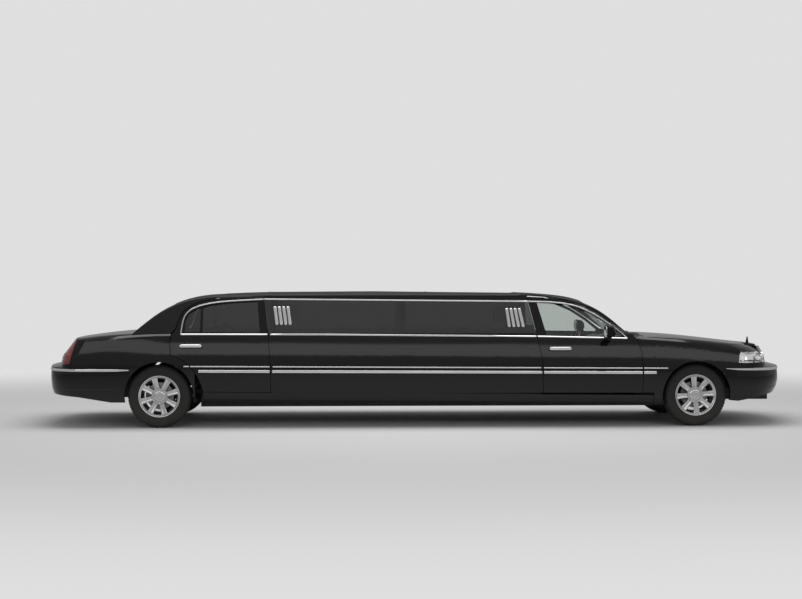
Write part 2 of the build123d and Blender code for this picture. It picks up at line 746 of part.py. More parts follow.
@functools.cache
def greenhouse(inset):
    """Rear slope, long middle and front slope, one loft each."""
    spans = [(roof_sections[0:5], False), (roof_sections[4:7], True), (roof_sections[6:], False)]
    return fused([Solid.make_loft([roof_wire(row, inset) for row in rows], ruled=flat) for rows, flat in spans])


roof_front_x = from_front(-1240)
shell = greenhouse(0) - greenhouse(roof_thickness)
roof_line = [
    (from_rear(-400), 1030),
    (from_rear(118), 1030),
    (from_rear(128), 1061),
    (from_rear(170), 1102),
    (from_rear(204), 1214),
    (from_rear(248), 1299),
    (from_rear(326), 1362),
    (from_rear(443), 1412),
    (from_rear(561), 1440),
    (from_rear(749), 1461),
    (from_rear(1152), roof_seat_z + seat_gap),
    (from_front(-1880), roof_seat_z + seat_gap),
    (from_front(-1520), 1446),
    (from_front(-1376), 1403),
    (roof_front_x, 1346),
    (roof_front_x, 1700),
    (from_rear(-400), 1700),
]
back_glass_hole = plan_prism(
    [(from_rear(-232), -560), (from_rear(120), -500), (from_rear(120), 500), (from_rear(-232), 560)], 900, 1700)
roof = (shell & side_prism(roof_line, -1100, 1100)) - back_glass_hole - body_loft(0, 4, -seat_gap)
parts["roof"] = roof
back_glass = (greenhouse(8) - greenhouse(14)) & side_prism(roof_line, -1100, 1100) & back_glass_hole
parts["back_glass"] = back_glass
windshield_foot_z = 985
windshield_top_x = roof_front_x + seat_gap
windshield_zone = plan_prism(
    [(windshield_top_x, -620), (from_front(-740), -800), (from_front(-600), -720), (from_front(-600), 720),
     (from_front(-740), 800), (windshield_top_x, 620)], windshield_foot_z, 1700)
parts["windshield"] = (greenhouse(8) - greenhouse(14)) & windshield_zone

# Pillars, cowl and firewall
pillar_zone = side_prism(
    [(windshield_top_x, 1346), (from_front(-1187), 1315), (from_front(-983), 1191),
     (from_front(-790), 1062), (from_front(-708), 1045), (from_front(-676), 985), (from_front(-600), 985),
     (from_front(-600), 1700), (windshield_top_x, 1700)], -1100, 1100)
pillars_front = (shell & pillar_zone) - windshield_zone - body_loft(4, 8, -seat_gap)
cowl_top = block(from_front(-698), from_front(-566), -770, 770, 960, 1014) & front_body(1)
posts = seal_flange(from_front(-698), from_front(-611), seat_gap, 40)
posts = posts + (block(from_front(-636), from_front(-611), -900, -769, sill_z, 1000) & seal_flange(
    from_front(-698), from_front(-611), seat_gap, 200))
flange_plate = block(from_front(-612), from_front(-596), -1000, -769, sill_z, 960)
posts = (posts + flange_plate) & front_body(skin + seat_gap)
firewall = block(from_front(-636), from_front(-610), -770, 770, 320, 1000)
firewall = firewall - block(from_front(-650), from_front(-600), -tunnel_half - 42, tunnel_half + 42,
                            300, tunnel_z + 1)
glass_slot = block(from_front(-1300), from_front(-500), -850, 850, windshield_foot_z - seat_gap, 1700)
glass_slot = (glass_slot & greenhouse(8 - seat_gap)) - greenhouse(14 + seat_gap)
parts["cowl"] = fused([firewall, cowl_top, posts, left(posts)]) - glass_slot
parts["windshield_frame"] = pillars_front

# Bumpers. Columns of each face: z, inset
front_bar_top = bumper_top_z - seat_gap
rear_bar_top = rear_bumper_top_z - seat_gap
front_bar_face = [(280, 96), (354, 50), (450, 9), (550, 0), (front_bar_top, 7)]
rear_bar_face = [(270, 70), (374, 24), (470, 5), (560, 0), (rear_bar_top, 8)]
bar_y = body_half_width - 37
bar_wall = 45
shelf_depth = 150
bar_start = arch_radius - 54


def bar_form(end, axle_x, face, inset, ruled):
    """Solid inside a bumper's outer face, back to the wheel's middle."""
    wires = [end_wire(end, inset + step, z, bar_y - inset - step * 0.4, lambda flank_x: [(axle_x, bar_y - inset + 4)])
             for z, step in face]
    return Solid.make_loft(wires, ruled=ruled)


def bumper(end, face, body, underside, axle_x):
    """A wrap-round bar with its shelf, cut to the wheel arch and to its rising lower edge."""
    top_z, top_inset = face[-1]
    hollow = bar_form(end, axle_x, [(200, face[0][1])] + face + [(top_z + 40, top_inset)], bar_wall, True)
    bar = bar_form(end, axle_x, face, 0, False) - hollow
    bar = bar - block(axle_x - bar_start, axle_x + bar_start, -1100, 1100, 0, 1200)
    shelf_face = [(top_z - 26, top_inset), (top_z, top_inset), (top_z + shelf_height, shelf_depth)]
    shelf = bar_form(end, axle_x, shelf_face, 0, True) - body(-seat_gap)
    shelf = shelf - block(axle_x - wheelhouse_radius - 40, axle_x + wheelhouse_radius + 40, -1100, 1100, 0, 1200)
    whole = bar + shelf
    whole = whole - across_cylinder(arch_radius, -1100, 1100, axle_x, tyre_radius)
    return whole - side_prism(underside, -1100, 1100)


front_underside = [(from_front(0), 100), (from_front(0), 282), (from_front(346), 296), (from_front(485), 282),
                   (from_front(765), 328), (from_front(927), 352), (from_front(1200), 362), (from_front(1200), 100)]
rear_underside = [(from_rear(0), 100), (from_rear(0), 286), (from_rear(-533), 285), (from_rear(-892), 344),
                  (from_rear(-1088), 358), (from_rear(-1219), 372), (from_rear(-1400), 380), (from_rear(-1400), 100)]
front_bumper = bumper(front_bar, front_bar_face, front_body, front_underside, front_axle_x)
parts["front_bumper"] = front_bumper - grille_slab(-lamp_inner_y, lamp_inner_y, bumper_top_z, grille_top_z,
                                                   -seat_gap, 2 * grille_depth)
parts["rear_bumper"] = bumper(rear_bar, rear_bar_face, rear_body, rear_underside, rear_axle_x)


plate_hole_spacing = 178
plate_hole_radius = 3.2
plate_pad_depth = 7
plate_pad_half = 165


def plate_pad(piece, side, z):
    """Flat seat and two holes for a number plate, in the middle of a bumper."""
    end_x = side * overall_length / 2
    face_x = end_x - side * plate_pad_depth
    pad_x = sorted((face_x, face_x - side * 36))
    piece = piece + block(*pad_x, -plate_pad_half, plate_pad_half, z - 40, z + 40)
    x0, x1 = sorted((face_x, end_x + side * 20))
    piece = piece - block(x0, x1, -plate_pad_half, plate_pad_half, z - 85, z + 85)
    for y in (-plate_hole_spacing / 2, plate_hole_spacing / 2):
        hole = Solid.make_cylinder(plate_hole_radius, 90, Plane((face_x + side * 5, y, z), z_dir=(-side, 0, 0)))
        piece = piece - hole
    return piece


parts["front_bumper"] = plate_pad(parts["front_bumper"], 1, 470)
parts["rear_bumper"] = plate_pad(parts["rear_bumper"], -1, 500)


# Wheels
def tyre(x, y):
    half = tyre_width / 2
    outline = [(-88, bead_radius), (-88, 234), (-half, 290), (-half + 10, 330), (-half + 34, tyre_radius),
               (half - 34, tyre_radius), (half - 10, 330), (half, 290), (88, 234), (88, bead_radius),
               (88 - tyre_wall, bead_radius), (half - tyre_wall, 290), (half - 40, tyre_radius - tyre_wall),
               (-half + 40, tyre_radius - tyre_wall), (-half + tyre_wall, 290), (-88 + tyre_wall, bead_radius)]
    return turned(outline, x, y, tyre_radius)


def rim(x, y):
    out = 88 + rim_flange_width
    seat = bead_radius - seat_gap
    profile = [(-out, rim_flange_radius), (-88 - seat_gap, rim_flange_radius), (-88 - seat_gap, seat), (-60, seat),
               (-40, rim_well_radius), (30, rim_well_radius), (52, seat), (88 + seat_gap, seat),
               (88 + seat_gap, rim_flange_radius), (out, rim_flange_radius), (out, seat - rim_thickness),
               (52, seat - rim_thickness), (30, rim_well_radius - rim_thickness),
               (-40, rim_well_radius - rim_thickness), (-60, seat - rim_thickness), (-out, seat - rim_thickness)]
    barrel = turned(profile, x, y, tyre_radius)
    face = wheel_face_offset
    hub = turned([(face, 0.0), (face, hub_cap_radius), (face + 30, hub_cap_radius), (face + 44, 60),
                  (face + 52, 0.0)], x, y, tyre_radius)
    pieces = [barrel, hub]
    inner_radius = hub_cap_radius - 8
    outer_radius = seat - rim_thickness + 3
    for index in range(spoke_count):
        turn = Location((x, y, tyre_radius)) * Location((0, 0, 0), (0, 1, 0), 360 * index / spoke_count)
        spoke = polygon([(-spoke_hub_width / 2, 0, inner_radius), (spoke_hub_width / 2, 0, inner_radius),
                         (spoke_rim_width / 2, 0, outer_radius), (-spoke_rim_width / 2, 0, outer_radius)])
        solid = Solid.extrude(spoke, Vector(0, -spoke_depth, 0)).moved(Location((0, -face - 4, 0)))
        pieces.append(solid.moved(turn))
    return fused(pieces)


for end, x, y in (("front", front_axle_x, -front_half_track), ("rear", rear_axle_x, -rear_half_track)):
    parts[f"rim_{end}_right"] = rim(x, y)
    parts[f"tyre_{end}_right"] = tyre(x, y)

# Knuckle: upright on the kingpin and the stub axle
knuckle = Solid.make_cylinder(24, 250, Plane((front_axle_x, -kingpin_offset, tyre_radius - 125)))
hub_end = -(front_half_track + wheel_face_offset - seat_gap)
knuckle = knuckle + across_cylinder(34, hub_end, -kingpin_offset, front_axle_x, tyre_radius)
knuckle = knuckle + across_cylinder(66, hub_end, hub_end + 14, front_axle_x, tyre_radius)
parts["knuckle_right"] = knuckle

# Front suspension: crossmember and arms
arms = []
for z in (tyre_radius - 125 - seat_gap - 16, tyre_radius + 125 + seat_gap):
    for side in (-1, 1):
        arm_tip_y = side * (kingpin_offset + 26)
        arm = plan_prism([(from_front(-28), arm_tip_y), (from_front(28), arm_tip_y),
                          (from_front(130), side * 440), (from_front(-130), side * 440)], z, z + 16)
        arms.append(arm)
crossmember = block(from_front(-90), from_front(90), -460, 460, 205, 262 - seat_gap)
towers = [block(from_front(-60), from_front(60), side * 440 - 29, side * 440 + 29, 205, 500) for side in (-1, 1)]
parts["front_suspension"] = fused([crossmember] + towers + arms)

# Floor and ladder frame
floor_x0 = from_rear(500)
floor_x1 = from_front(-636 - seat_gap)
floor_top_z = floor_z + floor_plate
half_floor = [(floor_half, floor_z), (floor_half, floor_top_z), (tunnel_half + 40, floor_top_z),
              (tunnel_half, tunnel_z)]
half_underside = [(tunnel_half - 20, tunnel_z - floor_plate), (tunnel_half + 20, floor_z)]
floor_section = ([(-y, z) for y, z in half_floor] + half_floor[::-1] + half_underside[::-1]
                 + [(-y, z) for y, z in half_underside])
floor_pan = Solid.extrude(polygon([(floor_x0, y, z) for y, z in floor_section]), Vector(floor_x1 - floor_x0, 0, 0))
riser = block(from_rear(478), from_rear(500), -620, 620, floor_z, 560)
riser = riser - block(from_rear(470), from_rear(510), -tunnel_half + 20, tunnel_half - 20, 200, tunnel_z - 22)
rear_deck = block(from_rear(-1120), from_rear(500), -620, 620, 538, 560)
rails = []
for side in (-1, 1):
    y0, y1 = sorted((side * 400, side * 500))
    rails.append(block(from_rear(-1180), from_rear(480), y0, y1, 440, 538))
    rails.append(block(from_rear(420), from_rear(520), y0, y1, 200, 538))
    rails.append(block(from_rear(420), from_front(-400), y0, y1, 200, floor_z))
    rails.append(block(from_front(-500), from_front(960), y0 - side * 90, y1 - side * 90, 262, 360))
    rails.append(block(from_front(-560), from_front(-400), *sorted((side * 310, side * 500)), 200, 360))
tank = block(from_rear(-1000), from_rear(-420), -380, 380, 300, 538)
parts["floor_frame"] = fused([floor_pan, riser, rear_deck] + rails + [tank])

# Engine and driveline
parts["engine"] = block(from_front(-522 + seat_gap), from_front(220), -320, 320, 360 + seat_gap, 880)
gearbox = block(from_front(-1300), from_front(-522), -120, 120, 290, 440)
shaft = Solid.make_cylinder(38, wheelbase - 1300 - 100, Plane((rear_axle_x + 100, 0, tyre_radius), z_dir=(1, 0, 0)))
axle = across_cylinder(42, -rear_half_track - wheel_face_offset + seat_gap,
                       rear_half_track + wheel_face_offset - seat_gap, rear_axle_x, tyre_radius)
housing = Solid.make_sphere(125, Plane((rear_axle_x, 0, tyre_radius)))
springs = [Solid.make_cylinder(45, 439.7 - tyre_radius, Plane((rear_axle_x, y, tyre_radius))) for y in (-450, 450)]
parts["driveline"] = fused([gearbox, shaft, axle, housing] + springs)
muffler = block(from_rear(700), from_rear(1400), -380, -190, 218, floor_z - seat_gap)
pipe = Solid.make_cylinder(28, wheelbase - 1300 - 640, Plane((from_rear(1300), -285, 248), z_dir=(1, 0, 0)))
parts["exhaust"] = muffler + pipe

# Cabin
dash_front_x = from_front(-636) - seat_gap
dash_outline = [(from_front(-1060), 760), (from_front(-1040), 940), (from_front(-900), 985), (from_front(-705), 985),
                (from_front(-705), 958), (dash_front_x, 958), (dash_front_x, 640), (from_front(-980), 660)]
dash_half = body_half_width - 253
dashboard = side_prism(dash_outline, -dash_half, dash_half)
wheel_centre = (from_front(-1200), 380, 850)
wheel_plane = Plane(wheel_centre, x_dir=(0, 1, 0), z_dir=(-0.9, 0, 0.436))
ring_radius = 180
grip_radius = 16
grip = []
for turn in range(0, 360, 60):
    out, up = grip_radius * math.cos(math.radians(turn)), grip_radius * math.sin(math.radians(turn))
    grip.append(wheel_plane.from_local_coords((ring_radius + out, 0, up)))
ring = Solid.revolve(polygon(grip), 360, Axis(wheel_centre, wheel_plane.z_dir))
spider = Solid.make_cylinder(50, 30, wheel_plane.offset(-15))
spoke_bars = [Solid.make_box(350, 40, 16).moved(wheel_plane.location * Location((-175, -20, -8)))]
parts["steering_wheel"] = fused([ring, spider] + spoke_bars)
column = Solid.make_cylinder(24, 180.7, wheel_plane.offset(-196))
parts["dashboard"] = dashboard + column


def seat(x, y0, y1, depth, base_z, cushion_z, back_z):
    outline = [(x, base_z), (x + depth, base_z), (x + depth + 10, cushion_z), (x + 150, cushion_z - 20),
               (x + 40, back_z), (x - 90, back_z - 10), (x - 60, base_z)]
    return side_prism(outline, y0, y1)


front_seat_x = from_front(-1800)
half_tunnel = [(tunnel_half + 41, 200), (tunnel_half + 41, floor_top_z), (tunnel_half + 1, tunnel_z + seat_gap)]
tunnel_space = polygon([(from_rear(0), -y, z) for y, z in half_tunnel]
                       + [(from_rear(0), y, z) for y, z in half_tunnel[::-1]])
tunnel_space = Solid.extrude(tunnel_space, Vector(wheelbase, 0, 0))
seat_base_z = floor_top_z + seat_gap
seat_out_y = body_half_width - 303
seat_in_y = 130
seat_depth = 560
cushion_z = 560
seat_back_z = 1120
seat_heights = (seat_base_z, cushion_z, seat_back_z)
front_seat = seat(front_seat_x, -seat_out_y, -seat_in_y, seat_depth, *seat_heights)
parts["front_seats"] = (front_seat + left(front_seat)) - tunnel_space
rear_seat = seat(from_rear(640), -seat_out_y, seat_out_y, seat_depth, *seat_heights) - tunnel_space
parts["rear_seats"] = rear_seat
partition_half = body_half_width - 213
partition_outline = [(-partition_half, seat_base_z), (-partition_half, belt_z), (-rail_y + 60, 1400),
                     (rail_y - 60, 1400), (partition_half, belt_z), (partition_half, seat_base_z)]
partition = Solid.extrude(polygon([(from_front(-1990), y, z) for y, z in partition_outline]), Vector(26, 0, 0))
parts["partition"] = partition - tunnel_space

for name in list(parts):
    if name.endswith("_right"):
        parts[name.replace("_right", "_left")] = left(parts[name])

os.makedirs("parts", exist_ok=True)
for name, piece in parts.items():
    export_step(Compound(list(piece)) if isinstance(piece, list) else piece, f"parts/{name}.step")
print(len(parts), "parts")
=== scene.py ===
import json
import math

import bmesh
import bpy
import numpy as np
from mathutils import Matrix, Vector
from mathutils.bvhtree import BVHTree


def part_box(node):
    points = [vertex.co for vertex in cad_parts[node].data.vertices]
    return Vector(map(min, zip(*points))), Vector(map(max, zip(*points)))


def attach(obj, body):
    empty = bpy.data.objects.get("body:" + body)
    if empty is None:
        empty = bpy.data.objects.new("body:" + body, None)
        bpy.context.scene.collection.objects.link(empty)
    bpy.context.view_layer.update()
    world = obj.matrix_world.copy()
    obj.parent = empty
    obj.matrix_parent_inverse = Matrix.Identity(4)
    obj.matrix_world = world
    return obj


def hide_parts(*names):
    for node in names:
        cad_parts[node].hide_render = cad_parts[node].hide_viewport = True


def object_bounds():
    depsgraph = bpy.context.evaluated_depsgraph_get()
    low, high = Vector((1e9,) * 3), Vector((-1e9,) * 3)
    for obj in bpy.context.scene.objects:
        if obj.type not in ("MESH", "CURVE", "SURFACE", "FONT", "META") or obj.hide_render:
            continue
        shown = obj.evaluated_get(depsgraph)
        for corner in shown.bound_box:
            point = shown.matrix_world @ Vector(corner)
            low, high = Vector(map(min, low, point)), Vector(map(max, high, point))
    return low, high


bl_info = {
    "name": "Stretch limousine",
    "version": (1, 0, 0),
    "blender": (4, 5, 0),
    "location": "View3D > Sidebar > Limousine",
    "description": "Dresses the stretch limousine's frame with its panels, trim, wheels, lamps and cabin",
    "category": "Add Mesh",
}

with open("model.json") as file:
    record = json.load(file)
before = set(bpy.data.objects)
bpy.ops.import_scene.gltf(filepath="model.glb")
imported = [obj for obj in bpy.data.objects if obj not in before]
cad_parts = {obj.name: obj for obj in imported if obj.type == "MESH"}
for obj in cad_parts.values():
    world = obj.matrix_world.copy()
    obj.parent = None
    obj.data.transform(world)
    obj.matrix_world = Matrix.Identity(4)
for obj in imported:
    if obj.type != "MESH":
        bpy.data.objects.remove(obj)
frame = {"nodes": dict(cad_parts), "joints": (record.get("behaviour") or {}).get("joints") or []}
cad_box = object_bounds()
nodes = frame["nodes"]

# Axle places, half tracks and the tyres' radius, in metres, from the frame
front_low, front_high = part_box("tyre_front_right")
rear_low, rear_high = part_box("tyre_rear_right")
front_axle = (front_low.x + front_high.x) / 2
rear_axle = (rear_low.x + rear_high.x) / 2
front_half_track = -(front_low.y + front_high.y) / 2
rear_half_track = -(rear_low.y + rear_high.y) / 2
tyre_radius = (front_high.z - front_low.z) / 2

# Directions. The car faces x, and its right side faces minus y
outboard = (0.0, -1.0, 0.0)
inboard = (0.0, 1.0, 0.0)
upward = (0.0, 0.0, 1.0)
downward = (0.0, 0.0, -1.0)
backward = (-1.0, 0.0, 0.0)

# Where lines that look for a skin start, in metres: across, over and ahead of the car
beside = -1.5
above = 2.0
ahead = 5.0


def from_front(millimetres):
    """A place along the car in metres, measured forward from the front axle."""
    return front_axle + millimetres / 1000


def from_rear(millimetres):
    """A place along the car in metres, measured forward from the rear axle."""
    return rear_axle + millimetres / 1000


class LimousineColours(bpy.types.PropertyGroup):
    paint: bpy.props.FloatVectorProperty(
        name="Paint", description="Colour of the body's paint", subtype="COLOR",
        default=(0.003, 0.003, 0.0035))
    vinyl: bpy.props.FloatVectorProperty(
        name="Roof vinyl", description="Colour of the padded roof", subtype="COLOR",
        default=(0.006, 0.006, 0.0065))
    leather: bpy.props.FloatVectorProperty(
        name="Leather", description="Colour of the seats", subtype="COLOR",
        default=(0.045, 0.043, 0.041))
    dust: bpy.props.FloatVectorProperty(
        name="Dust", description="Colour of the dust on the sills and tyres", subtype="COLOR",
        default=(0.16, 0.15, 0.135))


class LimousineTrim(bpy.types.PropertyGroup):
    belt_width: bpy.props.FloatProperty(
        name="Belt strip", description="Width of the strip under the windows",
        default=0.019, unit="LENGTH")
    moulding_width: bpy.props.FloatProperty(
        name="Moulding", description="Width of the moulding along the doors",
        default=0.032, unit="LENGTH")
    fine_line_width: bpy.props.FloatProperty(
        name="Fine line", description="Width of the thin strip above the moulding",
        default=0.013, unit="LENGTH")
    window_line_width: bpy.props.FloatProperty(
        name="Window strip", description="Width of the strip round the top of the windows",
        default=0.015, unit="LENGTH")
    bumper_strip_width: bpy.props.FloatProperty(
        name="Bumper strips", description="Width of the strips round the bumpers",
        default=0.029, unit="LENGTH")
    slanted_bar_width: bpy.props.FloatProperty(
        name="Slanted bars", description="Width of a slanted bar on the long windows",
        default=0.033, unit="LENGTH")
    slanted_bars: bpy.props.IntProperty(
        name="Bars in a group", description="Slanted bars at each end of the long windows",
        default=4, min=2)


class LimousineWheels(bpy.types.PropertyGroup):
    spokes: bpy.props.IntProperty(name="Spokes", description="Spokes of each wheel", default=8, min=3)
    spoke_width: bpy.props.FloatProperty(
        name="Spoke width", description="Width of a spoke near the cap", default=0.055, unit="LENGTH")
    groove_depth: bpy.props.FloatProperty(
        name="Shoulder grooves", description="Depth of the cross grooves in the tyres' shoulders",
        default=0.0055, unit="LENGTH")
    rib_depth: bpy.props.FloatProperty(
        name="Rib cuts", description="Depth of the fine cuts across the tyres' ribs",
        default=0.0035, unit="LENGTH")


class LimousineCabin(bpy.types.PropertyGroup):
    cushion_thickness: bpy.props.FloatProperty(
        name="Cushion", description="Thickness of a seat's cushion", default=0.215, unit="LENGTH")
    back_thickness: bpy.props.FloatProperty(
        name="Back", description="Thickness of a seat's back", default=0.125, unit="LENGTH")
    channel_depth: bpy.props.FloatProperty(
        name="Channels", description="Depth of the sewn channels", default=0.006, unit="LENGTH")
    cord_radius: bpy.props.FloatProperty(
        name="Seam cord", description="Radius of the cord round each pad", default=0.004, unit="LENGTH")


class LimousineStage(bpy.types.PropertyGroup):
    floor_size: bpy.props.FloatProperty(
        name="Floor", description="Width of the square floor", default=160.0, unit="LENGTH")
    floor_shade: bpy.props.FloatProperty(
        name="Floor shade", description="Grey level of the floor", default=0.62, min=0.0, max=1.0)
    backdrop_shade: bpy.props.FloatProperty(
        name="Backdrop shade", description="Grey level behind the car", default=0.74, min=0.0, max=1.0)
    ambient: bpy.props.FloatProperty(
        name="Ambient light", description="Strength of the light from all round",
        default=0.40, min=0.0, max=1.0)
    overhead_power: bpy.props.FloatProperty(
        name="Overhead light", description="Power of the long soft light over the car",
        default=430.0, unit="POWER")
    side_power: bpy.props.FloatProperty(
        name="Side light", description="Power of the soft light beside the camera",
        default=300.0, unit="POWER")


def added(tree, kind, inputs=None, **options):
    """A new shader node with its options and the values of its inputs."""
    node = tree.nodes.new(f"ShaderNode{kind}")
    for name, value in options.items():
        setattr(node, name, value)
    for name, value in (inputs or {}).items():
        node.inputs[name].default_value = value
    return node


def wired(tree, *pairs):
    """Links each pair of an output and an input."""
    for start, end in pairs:
        tree.links.new(start, end)


def new_material(name, inputs):
    """A material, its node tree, and its shader with the values of its inputs."""
    material = bpy.data.materials.new(name)
    material.use_nodes = True
    shader = material.node_tree.nodes["Principled BSDF"]
    for label, value in inputs.items():
        shader.inputs[label].default_value = value
    return material, material.node_tree, shader


def new_group(name, inputs, outputs):
    """A shader node group with named float inputs and outputs, and its two end nodes."""
    group = bpy.data.node_groups.new(name, "ShaderNodeTree")
    for label, default in inputs.items():
        socket = group.interface.new_socket(label, in_out="INPUT", socket_type="NodeSocketFloat")
        socket.default_value = default
    for label in outputs:
        group.interface.new_socket(label, in_out="OUTPUT", socket_type="NodeSocketFloat")
    return group, group.nodes.new("NodeGroupInput"), group.nodes.new("NodeGroupOutput")


def settled_dust_group():
    """Dust that is full below Low, gone above High, and broken up by soft noise."""
    group, start, end = new_group("Settled dust", {"Low": 0.2, "High": 0.6, "Amount": 0.5}, ["Mask"])
    place = added(group, "TexCoord")
    split = added(group, "SeparateXYZ")
    height = added(group, "MapRange", {"To Min": 1.0, "To Max": 0.0}, interpolation_type="SMOOTHSTEP")
    cloud = added(group, "TexNoise", {"Scale": 5.0, "Detail": 8.0, "Roughness": 0.65})
    broken = added(group, "Math", operation="MULTIPLY")
    total = added(group, "Math", operation="MULTIPLY", use_clamp=True)
    wired(
        group,
        (place.outputs["Object"], split.inputs[0]),
        (place.outputs["Object"], cloud.inputs["Vector"]),
        (split.outputs["Z"], height.inputs["Value"]),
        (start.outputs["Low"], height.inputs["From Min"]),
        (start.outputs["High"], height.inputs["From Max"]),
        (height.outputs["Result"], broken.inputs[0]),
        (cloud.outputs["Fac"], broken.inputs[1]),
        (broken.outputs[0], total.inputs[0]),
        (start.outputs["Amount"], total.inputs[1]),
        (total.outputs[0], end.inputs["Mask"]),
    )
    return group


def surface_grain_group():
    """Fine relief and a slow tone: cells for leather and vinyl, noise for everything else."""
    group, start, end = new_group("Surface grain", {"Scale": 200.0, "Cells": 0.0}, ["Height", "Tone"])
    place = added(group, "TexCoord")
    noise = added(group, "TexNoise", {"Detail": 4.0})
    cells = added(group, "TexVoronoi", feature="DISTANCE_TO_EDGE")
    choose = added(group, "Mix")
    slow = added(group, "TexNoise", {"Scale": 3.0, "Detail": 5.0})
    wired(
        group,
        *[(place.outputs["Object"], texture.inputs["Vector"]) for texture in (noise, cells, slow)],
        (start.outputs["Scale"], noise.inputs["Scale"]),
        (start.outputs["Scale"], cells.inputs["Scale"]),
        (start.outputs["Cells"], choose.inputs["Factor"]),
        (noise.outputs["Fac"], choose.inputs["A"]),
        (cells.outputs["Distance"], choose.inputs["B"]),
        (choose.outputs["Result"], end.inputs["Height"]),
        (slow.outputs["Fac"], end.inputs["Tone"]),
    )
    return group


def made_finish(name, base, row, groups, dust_colour):
    """One finish: colour and roughness varied by a slow tone, grain in its relief, and dust by height."""
    roughness, metallic, coat, scale, cells, relief, tone, dust_low, dust_high, dust_amount = row
    material, tree, shader = new_material(name, {
        "Metallic": metallic,
        "Coat Weight": coat,
        "Coat Roughness": coat_roughness,
        "Specular IOR Level": finish_shine.get(name, 0.5),
    })
    grain = added(tree, "Group", {"Scale": scale, "Cells": cells}, node_tree=groups["grain"])
    dust = added(tree, "Group", {"Low": dust_low, "High": dust_high, "Amount": dust_amount},
                 node_tree=groups["dust"])
    darker = (*[c * (1 - tone) for c in base], 1)
    paler = (*[min(1, c * (1 + tone)) for c in base], 1)
    varied = added(tree, "Mix", data_type="RGBA")
    varied.inputs["A"].default_value = darker
    varied.inputs["B"].default_value = paler
    dusty = added(tree, "Mix", data_type="RGBA")
    dusty.inputs["B"].default_value = (*dust_colour, 1)
    worn = added(tree, "MapRange", {
        "To Min": roughness * (1 - tone / 2),
        "To Max": roughness * (1 + tone / 2),
    })
    matt = added(tree, "Mix", {"B": dust_roughness})
    bump = added(tree, "Bump", {"Strength": 1.0, "Distance": relief})
    wired(
        tree,
        (grain.outputs["Tone"], varied.inputs["Factor"]),
        (varied.outputs["Result"], dusty.inputs["A"]),
        (dust.outputs["Mask"], dusty.inputs["Factor"]),
        (dusty.outputs["Result"], shader.inputs["Base Color"]),
        (grain.outputs["Tone"], worn.inputs["Value"]),
        (dust.outputs["Mask"], matt.inputs["Factor"]),
        (worn.outputs["Result"], matt.inputs["A"]),
        (matt.outputs["Result"], shader.inputs["Roughness"]),
        (grain.outputs["Height"], bump.inputs["Height"]),
        (bump.outputs["Normal"], shader.inputs["Normal"]),
    )
    return material


def made_glass(name, tint, roughness, through_shadow, bending):
    """Solid glass, with its shadow let through so that the cabin stays lit."""
    material, tree, shader = new_material(name, {
        "Base Color": (*tint, 1),
        "Roughness": roughness,
        "IOR": bending,
        "Transmission Weight": 1.0,
    })
    path = added(tree, "LightPath")
    clear = added(tree, "BsdfTransparent", {"Color": (*through_shadow, 1)})
    mix = added(tree, "MixShader")
    wired(
        tree,
        (path.outputs["Is Shadow Ray"], mix.inputs[0]),
        (shader.outputs[0], mix.inputs[1]),
        (clear.outputs[0], mix.inputs[2]),
        (mix.outputs[0], tree.nodes["Material Output"].inputs["Surface"]),
    )
    return material


# Finishes. Columns: roughness, metallic, coat, grain scale, cells, relief in metres, tone variation,
# dust full below, dust gone above, dust amount
finish_table = {
    "paint": (0.28, 0.0, 0.75, 900.0, 0.0, 0.00001, 0.15, 0.20, 0.50, 0.06),
    "vinyl": (0.52, 0.0, 0.0, 520.0, 1.0, 0.0006, 0.25, 0.0, 0.1, 0.0),
    "chrome": (0.07, 1.0, 0.0, 300.0, 0.0, 0.000005, 0.20, 0.2, 0.75, 0.12),
    "satin": (0.30, 1.0, 0.0, 900.0, 0.0, 0.00002, 0.15, 0.0, 0.1, 0.0),
    "wheel": (0.16, 1.0, 0.0, 400.0, 0.0, 0.00001, 0.20, 0.1, 0.9, 0.22),
    "rubber": (0.72, 0.0, 0.0, 700.0, 0.0, 0.0002, 0.30, 0.0, 0.9, 0.25),
    "black_trim": (0.45, 0.0, 0.0, 800.0, 0.0, 0.0001, 0.20, 0.1, 0.7, 0.25),
    "underbody": (0.75, 0.0, 0.0, 60.0, 0.0, 0.002, 0.50, 0.1, 0.7, 0.60),
    "steel": (0.42, 1.0, 0.0, 120.0, 0.0, 0.0006, 0.50, 0.1, 0.7, 0.55),
    "cast_iron": (0.60, 0.7, 0.0, 160.0, 0.0, 0.0010, 0.40, 0.1, 0.9, 0.35),
    "leather": (0.46, 0.0, 0.0, 380.0, 1.0, 0.0004, 0.30, 0.0, 0.1, 0.0),
    "dash_plastic": (0.55, 0.0, 0.0, 900.0, 1.0, 0.0002, 0.20, 0.0, 0.1, 0.0),
    "tail_red": (0.08, 0.0, 1.0, 300.0, 0.0, 0.0001, 0.15, 0.3, 0.9, 0.15),
}
coat_roughness = 0.09
dust_roughness = 0.85

# Plain reflection of the finishes that shine less than usual under their coat or nap
finish_shine = {
    "paint": 0.0,
    "vinyl": 0.22,
    "rubber": 0.3,
    "underbody": 0.15,
    "black_trim": 0.3,
    "leather": 0.35,
}

neutral_colours = {
    "chrome": (0.74, 0.74, 0.75),
    "satin": (0.72, 0.72, 0.73),
    "wheel": (0.60, 0.60, 0.61),
    "rubber": (0.012, 0.012, 0.012),
    "black_trim": (0.014, 0.014, 0.014),
    "underbody": (0.030, 0.028, 0.026),
    "steel": (0.32, 0.31, 0.30),
    "cast_iron": (0.10, 0.10, 0.10),
    "dash_plastic": (0.030, 0.030, 0.032),
    "tail_red": (0.18, 0.008, 0.008),
}

